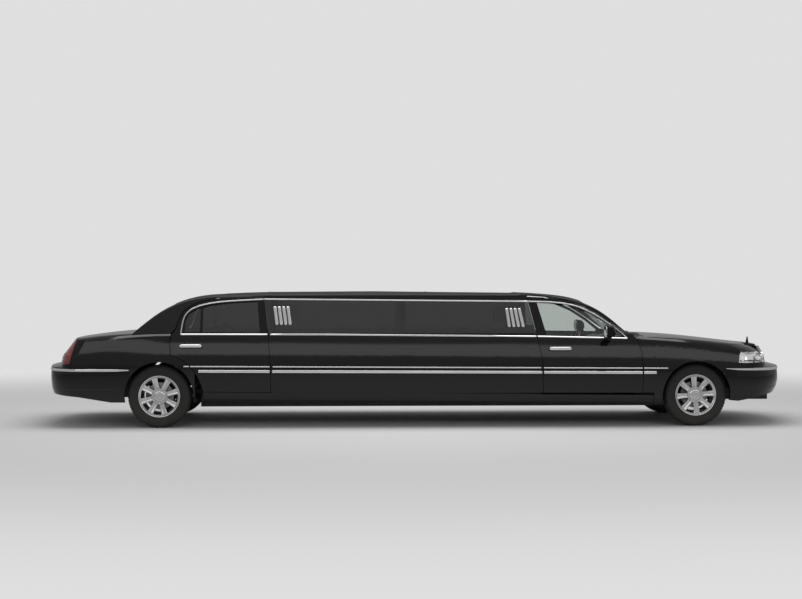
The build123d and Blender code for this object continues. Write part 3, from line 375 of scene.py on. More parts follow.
# Glasses. Columns: tint, roughness, colour of the shadow that is let through, bending of light
glass_table = {
    "clear_glass": ((0.72, 0.76, 0.74), 0.0, (0.6, 0.63, 0.61), 1.5),
    "dark_glass": ((0.10, 0.10, 0.105), 0.0, (0.05, 0.05, 0.05), 1.8),
    "lamp_glass": ((0.95, 0.95, 0.95), 0.02, (0.9, 0.9, 0.9), 1.5),
}

# Which finish each of the frame's nodes takes. The others are painted
node_finish = {
    "back_glass": "dark_glass",
    "cowl": "black_trim",
    "dashboard": "dash_plastic",
    "driveline": "cast_iron",
    "engine": "cast_iron",
    "exhaust": "steel",
    "floor_frame": "underbody",
    "front_seats": "leather",
    "front_suspension": "cast_iron",
    "grille": "chrome",
    "knuckle": "cast_iron",
    "long_window": "dark_glass",
    "partition": "dash_plastic",
    "rear_door_glass": "dark_glass",
    "front_door_glass": "clear_glass",
    "rear_seats": "leather",
    "rim": "wheel",
    "roof": "vinyl",
    "steering_wheel": "leather",
    "tail_lamp": "tail_red",
    "headlamp": "lamp_glass",
    "tyre": "rubber",
    "windshield": "clear_glass",
}

finishes = {}
plain_edge = 38.0  # faces that meet at a wider angle than this, in degrees, keep a sharp edge
soft_edge = 60.0


def grid_faces(rows, columns, round_rows=False, round_columns=False):
    """Quads between neighbours on a grid of points, joined round either way when asked."""
    i = np.arange(rows if round_rows else rows - 1)
    j = np.arange(columns if round_columns else columns - 1)
    i, j = np.meshgrid(i, j, indexing="ij")
    a = i * columns + j
    b = i * columns + (j + 1) % columns
    c = (i + 1) % rows * columns + (j + 1) % columns
    d = (i + 1) % rows * columns + j
    return np.stack([a, b, c, d], axis=-1).reshape(-1, 4).tolist()


def made_piece(name, body, finish, vertices, faces, sharp=plain_edge):
    """A closed mesh, its doubled points merged and its faces turned outward, that rides on a body."""
    mesh = bpy.data.meshes.new(name)
    mesh.from_pydata(np.asarray(vertices, float).reshape(-1, 3).tolist(), [], faces)
    form = bmesh.new()
    form.from_mesh(mesh)
    bmesh.ops.remove_doubles(form, verts=form.verts, dist=1e-6)
    bmesh.ops.recalc_face_normals(form, faces=form.faces)
    form.to_mesh(mesh)
    form.free()
    mesh.shade_smooth()
    mesh.set_sharp_from_angle(angle=math.radians(sharp))
    mesh.materials.append(finishes[finish])
    piece = bpy.data.objects.new(name, mesh)
    bpy.context.scene.collection.objects.link(piece)
    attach(piece, body)
    return piece


def both_sides(name, body, finish, vertices, faces, replaces="", sharp=plain_edge):
    """The piece on the right and its mirror image on the left."""
    vertices = np.asarray(vertices, float).reshape(-1, 3)
    for side, across in (("right", 1.0), ("left", -1.0)):
        mirrored = vertices * (1, across, 1)
        piece = made_piece(f"{name}_{side}", body.replace("right", side), finish, mirrored, faces, sharp)
        if replaces:
            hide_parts(replaces.replace("right", side))


def unit(vectors):
    """The vectors at length 1."""
    return vectors / np.maximum(np.linalg.norm(vectors, axis=-1, keepdims=True), 1e-9)


def powered(value, exponent):
    """The absolute value raised to the exponent, with the value's own sign."""
    return np.sign(value) * np.abs(value) ** exponent


def full_turn(count):
    """Evenly spaced angles once round."""
    return np.linspace(0, 2 * math.pi, count, endpoint=False)


def run_along(points):
    """Distance along a path from its start to each of its points."""
    return np.concatenate([[0], np.cumsum(np.linalg.norm(np.diff(points, axis=0), axis=1))])


def from_ends(points):
    """Distance along a path from each of its points to the nearer end."""
    run = run_along(points)
    return np.minimum(run, run[-1] - run)


def bar_ends(places, reach):
    """Scale of a bar's section that rounds both of its ends: sqrt(1 - (1 - distance / reach)^2)."""
    near = from_ends(places) / reach
    return np.sqrt(1 - (1 - np.clip(near, 0.02, 1)) ** 2)


def eased(values, reach):
    """Running mean over 2 reach + 1 places, with the line carried on straight past each end."""
    if reach == 0:
        return values
    head = 2 * values[:1] - values[1:reach + 1][::-1]
    tail = 2 * values[-1:] - values[-reach - 1:-1][::-1]
    run = np.concatenate([head, values, tail])
    return np.mean([run[k:k + len(values)] for k in range(2 * reach + 1)], axis=0)


def even_path(points, count, rounding=0):
    """Evenly spaced places along a broken line, with its corners rounded by a running mean."""
    points = np.asarray(points, float)
    run = run_along(points)
    places = np.linspace(0, run[-1], count)
    line = np.stack([np.interp(places, run, points[:, k]) for k in range(points.shape[1])], axis=1)
    return eased(line, rounding)


trees = {}
surfaces = dict(nodes)


def skin_of(names):
    """Search tree over the faces of some of the frame's nodes, or of pieces added to the surfaces."""
    if names not in trees:
        vertices, faces = [], []
        for name in names:
            mesh = surfaces[name].data
            places = np.empty(3 * len(mesh.vertices), np.float32)
            mesh.vertices.foreach_get("co", places)
            faces += [[len(vertices) + i for i in polygon.vertices] for polygon in mesh.polygons]
            vertices += places.reshape(-1, 3).tolist()
        trees[names] = BVHTree.FromPolygons(vertices, faces)
    return trees[names]


def seated(names, starts, toward, easing=2, step=None):
    """Where lines from the starts first meet the named nodes, and the outward direction there.

    A line that misses takes its place from its neighbours, and so does one whose distance is more than the
    step from the middle value of the lines round it. Directions are eased along the path.
    """
    starts = np.asarray(starts, float)
    toward = np.broadcast_to(np.asarray(toward, float), starts.shape)
    hits = [skin_of(names).ray_cast(Vector(s), Vector(t)) for s, t in zip(starts, toward)]
    known = np.array([k for k, hit in enumerate(hits) if hit[0] is not None])
    if len(known) < 2:
        raise RuntimeError(f"no skin of {names} under the path")
    every = np.arange(len(starts))
    distance = np.array([(Vector(starts[k]) - hits[k][0]).length for k in known])
    if step:
        beyond = 5
        padded = np.pad(distance, beyond, mode="edge")
        middle = np.median([padded[k:k + len(distance)] for k in range(2 * beyond + 1)], axis=0)
        level = np.abs(distance - middle) < step
        known, distance = known[level], distance[level]
    places = starts + unit(toward) * np.interp(every, known, distance)[:, None]
    out = np.array([hits[k][1] if hits[k][1].dot(Vector(toward[k])) < 0 else -hits[k][1] for k in known])
    out = np.stack([np.interp(every, known, out[:, k]) for k in range(3)], axis=1)
    return places, unit(eased(out, min(easing, len(out) - 1)))


def bar_section(width, height, sink=0.002, square=0.5):
    """Low arch closed by a foot sunk into the skin.

    At turn t the arch is at cos^square t half widths across and sin^square t heights out.
    """
    turn = np.linspace(0, math.pi, 9)
    arch = np.stack([
        powered(np.cos(turn), square) * width / 2,
        powered(np.sin(turn), square) * height,
    ], axis=1)
    return np.concatenate([arch, [[-width / 2, -sink], [width / 2, -sink]]])


def round_section(width, height, square):
    """Closed superellipse: cos^square t half widths across and sin^square t half heights out."""
    turn = full_turn(16)
    return np.stack([
        powered(np.cos(turn), square) * width / 2,
        powered(np.sin(turn), square) * height / 2,
    ], axis=1)


def carried(path, out, section, ends=None):
    """A closed section carried along a path.

    A point (u, v) of the section goes to place + u times the across direction + v times the outward one.
    Across is at right angles to the path and to outward. Ends scales the section at each place.
    """
    along = unit(np.gradient(path, axis=0))
    out = np.broadcast_to(out, np.shape(path))
    out = unit(out - along * np.sum(out * along, axis=1, keepdims=True))
    across = np.cross(along, out)
    section = np.broadcast_to(section, (len(path), *np.shape(section)[-2:]))
    if ends is not None:
        section = section * np.asarray(ends)[:, None, None]
    vertices = path[:, None] + across[:, None] * section[..., 0:1] + out[:, None] * section[..., 1:2]
    rows, columns = vertices.shape[:2]
    faces = grid_faces(rows, columns, round_columns=True)
    faces += [list(range(columns)), list(range((rows - 1) * columns, rows * columns))]
    return vertices.reshape(-1, 3), faces


def turned(profile, x, track, segments):
    """A closed profile of (outboard distance, radius) in millimetres, turned about a right wheel's axis.

    The place at turn t is x + radius sin t along, tyre radius + radius cos t up, and outboard of the track.
    """
    profile = np.asarray(profile, float) / 1000
    turn = full_turn(segments)[:, None]
    out, radius = profile[:, 0], profile[:, 1]
    vertices = np.stack([
        x + radius * np.sin(turn),
        np.broadcast_to(-(track + out), (segments, len(out))),
        tyre_radius + radius * np.cos(turn),
    ], axis=-1)
    return vertices.reshape(-1, 3), grid_faces(segments, len(out), True, True)


def shell(front, back):
    """A closed thin form between two grids of points of the same size."""
    rows, columns = front.shape[:2]
    total = rows * columns
    faces = grid_faces(rows, columns)
    faces += [[total + i for i in face[::-1]] for face in faces]
    border = [
        *range(columns),
        *[row * columns + columns - 1 for row in range(1, rows)],
        *[(rows - 1) * columns + column for column in range(columns - 2, -1, -1)],
        *[row * columns for row in range(rows - 2, 0, -1)],
    ]
    faces += [[a, b, total + b, total + a] for a, b in zip(border, border[1:] + border[:1])]
    return np.concatenate([front.reshape(-1, 3), back.reshape(-1, 3)]), faces


def joined(forms):
    """Several closed forms, each vertices and faces, as one list of vertices and one of faces."""
    vertices, faces, start = [], [], 0
    for points, sides in forms:
        vertices.append(points)
        faces += [[start + i for i in side] for side in sides]
        start += len(points)
    return np.concatenate(vertices), faces


class LIMOUSINE_OT_finishes(bpy.types.Operator):
    """Make every finish and give each node of the frame its own"""
    bl_idname = "limousine.finishes"
    bl_label = "Finishes"

    def execute(self, context):
        colours = context.scene.limousine_colours
        groups = {"dust": settled_dust_group(), "grain": surface_grain_group()}
        chosen = {
            **neutral_colours,
            "paint": tuple(colours.paint),
            "vinyl": tuple(colours.vinyl),
            "leather": tuple(colours.leather),
        }
        for name, row in finish_table.items():
            finishes[name] = made_finish(name, chosen[name], row, groups, tuple(colours.dust))
        for name, row in glass_table.items():
            finishes[name] = made_glass(name, *row)
        for name, node in nodes.items():
            stem = name
            for place in ("_left", "_right", "_front", "_rear"):
                stem = stem.removesuffix(place)
            node.data.materials.clear()
            node.data.materials.append(finishes[node_finish.get(stem, "paint")])
        return {"FINISHED"}


# Lines of the side trim, front to the right, as places along the car and heights in metres. They were read
# from the photograph at the wheels' and doors' places
belt_line = [
    (from_rear(237), 1.042),
    (from_rear(1859), 1.038),
    (from_front(-1795), 1.014),
    (from_front(-783), 0.992),
]
window_line = [
    *[(from_rear(x), z / 1000) for x, z in (
        (237, 1040), (246, 1130), (256, 1209), (268, 1250), (288, 1283), (315, 1308), (351, 1329),
        (394, 1348), (445, 1364), (500, 1378), (562, 1390), (650, 1402), (749, 1411), (900, 1420),
        (1159, 1433))],
    *[(from_front(x), z / 1000) for x, z in (
        (-1860, 1406), (-1641, 1401), (-1498, 1389), (-1391, 1371), (-1294, 1341), (-1187, 1291),
        (-1081, 1230), (-983, 1165), (-886, 1092), (-821, 1037), (-790, 1004))],
]
moulding_line = [(from_rear(443.5), 0.635), (from_front(-466.5), 0.6105)]
fine_line = [(from_rear(278), 0.689), (from_front(-335), 0.659)]

# Where each line crosses the gap ahead of the rear door and the gap behind the front door
belt_gaps = (from_rear(1204.5), from_front(-1798.5))
window_gaps = (from_rear(1154.5), from_front(-1886))
moulding_gaps = (from_rear(1236.5), from_front(-1739))
rear_door_end = from_rear(350)
front_door_end = from_front(-624)
gap = 0.0035  # from the middle of a door's gap to the strip's end
strip_pitch = 0.03  # distance between the places of a strip
strip_step = 0.012  # a place this much nearer or farther than those round it is left out

# Slanted bars of the long windows: group, places of the first and the last bar's top, their height, and the
# same for their feet
bar_groups = [
    ("rear", from_rear(1279), from_rear(1425), 1.352, from_rear(1309), from_rear(1457), 1.147),
    ("front", from_front(-2132), from_front(-1990), 1.331, from_front(-2110), from_front(-1951), 1.120),
]
bar_height = 0.006
bar_pitch = 0.004
bar_rounding = 0.016

# Bumper strips: end, node, middle of the lines that look for it, height, and rise at the strip's ends
bumper_rows = [
    ("front", "front_bumper", from_front(300), 0.636, 0.018),
    ("rear", "rear_bumper", from_rear(-300), 0.644, 0.001),
]
bumper_strip_reach = 88  # degrees each way from straight ahead
bumper_strip_taper = 0.15
bumper_seam_reach = 80
bumper_seam_taper = 0.05
bumper_seam_z = 0.430
search_radius = 2.2

# Handles: door, middle along the car, height. Then their half lengths
handle_rows = [("front", from_front(-1550), 0.882), ("rear", from_rear(356), 0.918)]
handle_half = 0.128
handle_bow = 0.004
handle_inset = 0.008  # how far the cover's middle lies inside the door's skin
# Painted shade in each handle's recess: half its length, and how far above and below the handle the door's
# skin is read for it
recess_half = 0.098
recess_rise = 0.035

# Mirror glass: its middle across the car and up, its half sizes, and the place of the housing's rear face
mirror_y = -1.086
mirror_z = 1.083
mirror_half_width = 0.088
mirror_half_height = 0.052
mirror_face = from_front(-1063.5)

# Wipers: side, then along and across the car the arm's pivot, the blade's foot and the blade's tip
wiper_rows = [
    ("right", (from_front(-592), -0.62), (from_front(-640), -0.62), (from_front(-612), -0.06)),
    ("left", (from_front(-584), 0.02), (from_front(-614), 0.02), (from_front(-640), 0.58)),
]
blade_lift = 0.008  # how far the blade's middle lies over the glass
arm_lift = 0.018
pivot_lift = 0.004
arm_rise = 0.020  # how far the arm stands up over a straight line, at a quarter of its length


def level_line(along, z):
    """Places beside the right side at one height."""
    return np.stack([along, np.full(len(along), beside), np.full(len(along), z)], axis=1)


def side_line(points, count, rounding=0):
    """Evenly spaced places beside the right side along a line of x and z pairs in metres."""
    line = even_path(points, count, rounding)
    return np.stack([line[:, 0], np.full(count, beside), line[:, 1]], axis=1)


def cut_line(points, start, end):
    """The part of a line of x and z pairs between two places, with z read off at both ends."""
    points = np.asarray(points, float)
    inner = points[(points[:, 0] > start) & (points[:, 0] < end)]
    edges = [[x, np.interp(x, points[:, 0], points[:, 1])] for x in (start, end)]
    return np.concatenate([edges[:1], inner, edges[1:]])


def strip(name, body, finish, points, skins, section, pitch=strip_pitch, rounding=0, taper=None):
    """A low strip along the right side, and its mirror image. Taper rounds its ends over that length."""
    count = max(6, int(run_along(points)[-1] / pitch))
    places, out = seated(skins, side_line(points, count, rounding), inboard, step=strip_step)
    ends = bar_ends(places, taper) if taper else None
    both_sides(name, body, finish, *carried(places, out, section, ends))


def sections_of(line, gaps, quarter=None, fender=None):
    """Start, end, body and skin nodes of the parts that a side line breaks into at the doors' gaps.

    Quarter and fender are the places of the doors' outer ends, where the line runs on past them.
    """
    rear_gap, front_gap = gaps
    start, end = line[0][0], line[-1][0]
    rear_door, front_door = "rear_door_right", "front_door_right"
    parts = [
        (quarter or start, rear_gap - gap, rear_door, (rear_door, "rear_door_glass_right")),
        (rear_gap + gap, front_gap - gap, "root", ("side_wall_right", "long_window_right")),
        (front_gap + gap, fender or end, front_door, (front_door, "front_door_glass_right")),
    ]
    if quarter:
        parts.insert(0, (start, quarter - 2 * gap, "root", ("quarter_right",)))
    if fender:
        parts.append((fender + 5 * gap, end, "root", ("fender_right",)))
    return parts


def wrapped(name, finish, bumper, centre, reach, z, section, taper, rise=0.0):
    """A strip that wraps round a bumper, where lines toward the centre first meet its face.

    At turn t its height is z + rise (t / reach)^4. Its section grows from 0.4 of its size to the whole over
    the taper at each end, and what would stand past the frame's box is cut to it.
    """
    reach = math.radians(reach)
    turn = np.linspace(-reach, reach, 121)
    away = np.stack([np.cos(turn), np.sin(turn), np.zeros(len(turn))], axis=1)
    away[:, 0] *= math.copysign(1, centre)
    starts = np.array([centre, 0, 0]) + search_radius * away
    starts[:, 2] = z + rise * (turn / reach) ** 4
    places, out = seated((bumper,), starts, -away, 1)
    ends = np.interp(from_ends(places), [0, taper], [0.4, 1.0])
    vertices, faces = carried(places, out, section, ends)
    vertices[:, 0] = np.clip(vertices[:, 0], cad_box[0].x, cad_box[1].x)
    made_piece(name, "root", finish, vertices, faces)


class LIMOUSINE_OT_trim(bpy.types.Operator):
    """Lay the bright strips of sides, windows and bumpers, the slanted bars, handles, mirrors and wipers"""
    bl_idname = "limousine.trim"
    bl_label = "Bright trim"

    def execute(self, context):
        trim = context.scene.limousine_trim
        self.side_strips(trim)
        self.slanted_bars(trim)
        self.bumper_strips(trim)
        self.handles()
        self.mirrors()
        self.wipers()
        return {"FINISHED"}

    def side_strips(self, trim):
        """Strips in rows of name, line, gaps, outer ends of the doors, width, height and rounding."""
        fender = {"fender": front_door_end}
        whole_side = {"quarter": rear_door_end, "fender": front_door_end}
        for name, line, gaps, outer, width, height, rounding in (
                ("belt", belt_line, belt_gaps, {}, trim.belt_width, 0.006, 0),
                ("moulding", moulding_line, moulding_gaps, fender, trim.moulding_width, 0.011, 0),
                ("fine_line", fine_line, moulding_gaps, whole_side, trim.fine_line_width, 0.004, 0),
                ("window_line", window_line, window_gaps, {}, trim.window_line_width, 0.007, 2)):
            for start, end, body, skins in sections_of(line, gaps, **outer):
                piece = f"{name}_{skins[0].removesuffix('_right')}"
                strip(piece, body, "chrome", cut_line(line, start, end), skins, bar_section(width, height),
                      rounding=rounding)

    def slanted_bars(self, trim):
        """Bars evenly spread between the first and the last of each group."""
        section = bar_section(trim.slanted_bar_width, bar_height)
        for name, top_start, top_end, top_z, foot_start, foot_end, foot_z in bar_groups:
            for k, across in enumerate(np.linspace(0, 1, trim.slanted_bars)):
                top = top_start + across * (top_end - top_start)
                foot = foot_start + across * (foot_end - foot_start)
                strip(f"slanted_bar_{name}_{k + 1}", "root", "satin", [(foot, foot_z), (top, top_z)],
                      ("long_window_right",), section, pitch=bar_pitch, taper=bar_rounding)

    def bumper_strips(self, trim):
        """A bright strip and a dark seam round each bumper."""
        bright = bar_section(trim.bumper_strip_width, height=0.008)
        dark = bar_section(width=0.008, height=0.0015)
        for name, bumper, centre, z, rise in bumper_rows:
            wrapped(f"bumper_strip_{name}", "chrome", bumper, centre, bumper_strip_reach, z, bright,
                    bumper_strip_taper, rise)
            wrapped(f"bumper_seam_{name}", "black_trim", bumper, centre, bumper_seam_reach, bumper_seam_z,
                    dark, bumper_seam_taper)

    def handles(self):
        """Covers that bow out by handle_bow (1 - (x / half length)^2), over painted shade in their
        recesses.
        """
        cover = round_section(width=0.038, height=0.022, square=0.8)
        shade_section = bar_section(width=0.062, height=0.0025, sink=0.004, square=0.8)
        for name, x, z in handle_rows:
            door = f"{name}_door_right"
            pair, _ = seated((door,), level_line(np.array([x - 0.01, x + 0.01]), z), inboard, 0)
            run = np.linspace(-handle_half, handle_half, 41)
            bow = -handle_bow * (1 - (run / handle_half) ** 2)
            middle = pair.mean(axis=0) + (0, handle_inset, 0)
            places = middle + np.stack([run, bow, 0 * run], axis=1)
            handle = carried(places, outboard, cover, bar_ends(places, reach=0.02))
            both_sides(f"handle_{name}", door, "chrome", *handle)
            # Painted shade: a matt dark patch laid on the door behind each handle, in place of the recess's
            # shade
            run = x + np.linspace(-recess_half, recess_half, 25)
            below, out = seated((door,), level_line(run, z - recess_rise), inboard)
            over, _ = seated((door,), level_line(run, z + recess_rise), inboard)
            skin = (below + over) / 2
            painted_recess_shade = carried(skin, out, shade_section, bar_ends(skin, reach=0.03))
            both_sides(f"handle_recess_{name}", door, "black_trim", *painted_recess_shade)

    def mirrors(self):
        """A rounded plate: rings of cos^0.4 t and sin^0.4 t half sizes, each with a place and a scale."""
        turn = full_turn(48)
        wide = powered(np.cos(turn), 0.4) * mirror_half_width
        tall = powered(np.sin(turn), 0.4) * mirror_half_height
        rings = [(0.004, 0.9), (0.004, 1.04), (-0.0015, 1.04), (-0.0015, 0.96), (-0.0005, 0.9)]
        vertices = np.concatenate([np.stack([
            np.full(len(turn), mirror_face + x), mirror_y + wide * scale, mirror_z + tall * scale,
        ], axis=1) for x, scale in rings])
        faces = grid_faces(len(rings), len(turn), round_columns=True)
        faces += [list(range(len(turn))), list(range((len(rings) - 1) * len(turn), len(rings) * len(turn)))]
        both_sides("mirror_glass", "front_door_right", "chrome", vertices, faces)

    def wipers(self):
        """Each blade lies over the glass, and its arm rises from the cowl to the blade's middle."""
        count = 24
        blade = round_section(width=0.011, height=0.016, square=0.7)
        bar = round_section(width=0.017, height=0.009, square=0.7)
        for name, pivot, foot, tip in wiper_rows:
            line = even_path([(*foot, above), (*tip, above)], count)
            places, out = seated(("windshield", "cowl", "hood"), line, downward)
            made_piece(f"wiper_blade_{name}", "root", "black_trim", *carried(
                places + blade_lift * out, out, blade, bar_ends(places, reach=0.02)))
            middle = places[count // 2] + arm_lift * out[count // 2]
            base, _ = seated(("cowl", "windshield"), [(*pivot, above), (*pivot, above)], downward, 0)
            base = base[0] + (0, 0, pivot_lift)
            bend = base + 0.25 * (middle - base) + (0, 0, arm_rise)
            arm = even_path([base, bend, middle], count, 3)
            made_piece(f"wiper_arm_{name}", "root", "black_trim", *carried(
                arm, upward, bar, bar_ends(arm, reach=0.02)))


# Closed profiles of the wheel in millimetres: distance outboard of the tyre's middle, radius. The tyre's
# lists are one half of its outside and one half of its inside
tyre_outside = [
    (0, 351), (19, 351), (20, 343), (29, 343), (30, 350.7), (52, 350), (53, 342.5), (61, 342.5),
    (62, 349.6), (74, 349), (86, 347.4), (93, 343), (99, 337), (104, 330), (107.5, 323), (109.6, 318),
    (111.4, 315.5), (111.8, 312), (111.2, 308), (112.6, 300), (113, 288), (112.6, 276), (110.8, 264),
    (108.6, 254), (109.6, 250), (107.6, 245), (103, 240), (99, 236), (96, 228), (91, 217),
]
tyre_inside = [(82, 217), (90, 236), (98, 262), (101, 288), (96, 316), (84, 334), (0, 338)]
rim_profile = [
    (-100, 232), (-97, 225), (-88, 216), (-60, 215), (-42, 190), (30, 190), (55, 213), (84, 216),
    (90, 222), (92, 229), (97, 234), (101, 234.5), (103.5, 232), (103, 227), (99, 221), (94, 216),
    (90, 211), (88, 207), (80, 204), (52, 202), (28, 182), (-40, 181), (-60, 206), (-90, 208),
    (-98, 216), (-102, 224), (-102, 229),
]
cap_profile = [
    (88, 0), (88, 22), (87, 26), (88.4, 30), (88.2, 46), (86, 58), (80.5, 66), (81, 70), (87, 75),
    (89.5, 79), (89.5, 83), (86, 88), (78, 92), (60, 94), (40, 94), (40, 0),
]
disc_profile = [
    (-2, 76), (-2, 150), (3.5, 150), (5, 146), (10, 146), (11.5, 150), (17, 150), (17, 76), (33, 72),
    (33, 68.5), (15, 68.5), (-2, 70),
]
caliper_section = np.array([
    (-24, -28), (-24, 24), (-18, 32), (30, 32), (36, 26), (36, -28), (20, -28), (20, 26), (-5, 26),
    (-5, -28),
]) / 1000
caliper_radius = 0.128
caliper_reach = (-118, -62)  # degrees round the wheel from its top

# Dark screen in the front wheelhouse: place across the car, and reach ahead of the axle and up
screen_y = -0.452
screen_reach = (0.27, 0.50)
screen_heights = (0.33, 0.73)

# Section of a spoke: share of its half width, millimetres outboard of its face
spoke_section = np.array([
    (-1, -6.5), (-0.97, -3), (-0.86, -0.6), (-0.66, 0), (-0.52, -1.2), (-0.3, -4.2), (0, -5.2), (0.3, -4.2),
    (0.52, -1.2), (0.66, 0), (0.86, -0.6), (0.97, -3), (1, -6.5), (0.8, -26), (-0.8, -26),
])
spoke_start = 0.086
spoke_length = 0.126
spoke_face = 0.077
tyre_segments = 360
round_segments = 96
rim_segments = 144

# Which of the tyre's profile points are pressed in: those beyond a radius, by distance from its middle
shoulder_radius = 336
shoulder_start = 61.5
rib_radius = 349
rib_end = 60


def tyre_form(x, track, groove_depth, rib_depth):
    """Tyre turned from its profile, with cross grooves in the shoulders and fine cuts across the ribs.

    Of every six steps round, two are pressed in on the shoulder, and of every four, one on a rib.
    """
    outside = [(-out, radius) for out, radius in tyre_outside[:0:-1]] + tyre_outside
    inside = tyre_inside + [(-out, radius) for out, radius in tyre_inside[-2::-1]]
    profile = np.array(outside + inside, float)
    vertices, faces = turned(profile, x, track, tyre_segments)
    vertices = vertices.reshape(tyre_segments, len(profile), 3)
    out = np.abs(profile[:, 0])
    top = np.arange(len(profile)) < len(outside)
    shoulder = top & (profile[:, 1] > shoulder_radius) & (out > shoulder_start)
    rib = top & (profile[:, 1] > rib_radius) & (out > 1) & (out < rib_end)
    step = np.arange(tyre_segments)[:, None]
    depth = groove_depth * ((step % 6 < 2) & shoulder) + rib_depth * ((step % 4 == 1) & rib)
    centre = np.array([x, 0, tyre_radius])
    radial = (vertices - centre) * (1, 0, 1)
    return (vertices - unit(radial) * depth[..., None]).reshape(-1, 3), faces


def spoke_forms(x, track, phase, count, width):
    """Broad spokes, each a closed bar along the radius with bevelled edges and a shallow flute.

    At share s of the way out the face stands 77 + 11 s^2 mm outboard of the tyre's middle. The half width
    grows by 5.5 s mm, and by up to 12 mm more in the last 0.18 of the way and 4 mm in the first 0.15.
    """
    share = np.linspace(0, 1, 15)
    radius = spoke_start + spoke_length * share
    face = spoke_face + 0.011 * share ** 2
    half = width / 2 + 0.0055 * share + 0.012 * np.clip((share - 0.82) / 0.18, 0, 1) ** 2
    half += 0.004 * np.clip((0.15 - share) / 0.15, 0, 1)
    across, out = spoke_section.T
    section = np.stack(np.broadcast_arrays(across * half[:, None], out / 1000), axis=-1)
    forms = []
    for turn in math.radians(phase) + full_turn(count):
        path = np.stack([
            x + radius * math.sin(turn), -(track + face), tyre_radius + radius * math.cos(turn)], axis=1)
        forms.append(carried(path, outboard, section))
    return joined(forms)


class LIMOUSINE_OT_wheels(bpy.types.Operator):
    """Make the treaded tyres, the bright wheels with their caps, and the brakes behind them"""
    bl_idname = "limousine.wheels"
    bl_label = "Wheels"

    def execute(self, context):
        wheels = context.scene.limousine_wheels
        for end, x, track, phase, carrier in (
                ("front", front_axle, front_half_track, -5.0, "knuckle_right"),
                ("rear", rear_axle, rear_half_track, -16.0, "root")):
            wheel = f"wheel_{end}_right"
            tyre = tyre_form(x, track, wheels.groove_depth, wheels.rib_depth)
            rim = turned(rim_profile, x, track, rim_segments)
            spokes = spoke_forms(x, track, phase, wheels.spokes, wheels.spoke_width)
            both_sides(f"tyre_treaded_{end}", wheel, "rubber", *tyre, replaces=f"tyre_{end}_right")
            both_sides(f"wheel_rim_{end}", wheel, "wheel", *rim, replaces=f"rim_{end}_right")
            both_sides(f"wheel_spokes_{end}", wheel, "wheel", *spokes, sharp=30.0)
            both_sides(f"wheel_cap_{end}", wheel, "wheel", *turned(cap_profile, x, track, round_segments))
            both_sides(f"brake_disc_{end}", wheel, "steel", *turned(disc_profile, x, track, round_segments))
            if end == "front":
                screen = np.array([[(x + dx, screen_y, z) for dx in screen_reach] for z in screen_heights])
                both_sides("wheelhouse_screen", "root", "underbody", *shell(screen, screen + (0, 0.003, 0)))
            turn = np.radians(np.linspace(*caliper_reach, 13))
            radial = np.stack([np.sin(turn), 0 * turn, np.cos(turn)], axis=1)
            path = np.array([x, -track, tyre_radius]) + caliper_radius * radial
            caliper = carried(path, radial, caliper_section)
            both_sides(f"brake_caliper_{end}", carrier, "cast_iron", *caliper)
        return {"FINISHED"}


def rounded_outline(size, square, count):
    """Outline of a pad from above: (cos^q t, sin^q t) times half the size and times drawn_in."""
    turn = full_turn(count)
    wide, deep = powered(np.cos(turn), square), powered(np.sin(turn), square)
    pull = drawn_in(wide, deep)
    return np.stack([wide * pull * size[0] / 2, deep * pull * size[1] / 2, 0 * turn], axis=1)


def drawn_in(x, y):
    """Scale of 1 - 0.03 cos(pi x) - 0.03 cos(pi y), which leaves a pad's corners a little proud."""
    return 1 - 0.03 * np.cos(x * math.pi) - 0.03 * np.cos(y * math.pi)


def pad_form(size, square, crown, rows=48, columns=96, channels=0, depth=0.0):
    """Closed stuffed form about the origin.

    The place at latitude a and longitude b is (cos^q a cos^q b, cos^q a sin^q b, sin^q a) times half the
    size, with powers of the absolute value. The middle of each broad face swells by the crown's share of
    the thickness, and sewn channels press into the top face as rows of |cos|^0.5 across y.
    """
    a = np.linspace(-math.pi / 2, math.pi / 2, rows)[:, None]
    b = full_turn(columns)[None]
    x = powered(np.cos(a), square) * powered(np.cos(b), square)
    y = powered(np.cos(a), square) * powered(np.sin(b), square)
    z = powered(np.sin(a), square) * np.ones_like(b)
    swell = 1 + crown * (np.cos(x * math.pi / 2) * np.cos(y * math.pi / 2) - 0.5)
    pull = drawn_in(x, y)
    vertices = np.stack([x * pull * size[0] / 2, y * pull * size[1] / 2, z * swell * size[2] / 2], axis=-1)
    if channels:
        press = np.abs(np.cos(y * channels * math.pi / 2)) ** 0.5
        inside = np.clip((0.85 - np.maximum(np.abs(x), np.abs(y))) / 0.15, 0, 1)
        vertices[..., 2] -= depth * (1 - press) * inside * (z > 0.5)
    return vertices.reshape(-1, 3), grid_faces(rows, columns, round_columns=True)


def piping(size, square, radius):
    """A sewn cord round a pad's sides: a ring of the radius carried round the pad's outline."""
    path = rounded_outline(size, square, 96)
    along = unit(np.roll(path, -1, axis=0) - np.roll(path, 1, axis=0))
    out = np.cross(along, upward)
    ring = full_turn(8)[:, None]
    vertices = path[:, None] + radius * (out[:, None] * np.cos(ring) + np.array(upward) * np.sin(ring))
    return vertices.reshape(-1, 3), grid_faces(len(path), len(ring), True, True)


def posed(form, centre, tilt):
    """The form's vertices turned about y by the tilt in degrees and moved to the centre, and its faces."""
    vertices, faces = form
    turn = math.radians(tilt)
    x = vertices[:, 0] * math.cos(turn) + vertices[:, 2] * math.sin(turn)
    z = -vertices[:, 0] * math.sin(turn) + vertices[:, 2] * math.cos(turn)
    return np.stack([x, vertices[:, 1], z], axis=1) + centre, faces


# Seats: inner edge of a front seat from the car's middle, and the base line ahead of the rear face of the
# frame's seat. Then cushion, back and head rest: distance ahead of that line, height, and tilt in degrees
seat_inner = 0.130
seat_base = 0.09
cushion_place = (0.335, 0.452, -3.0)
back_place = (0.045, 0.790, -101.0)
rest_place = (-0.022, 1.064, -100.0)
cushion_length = 0.47
back_height = 0.50
head_rest_size = (0.115, 0.26, 0.095)

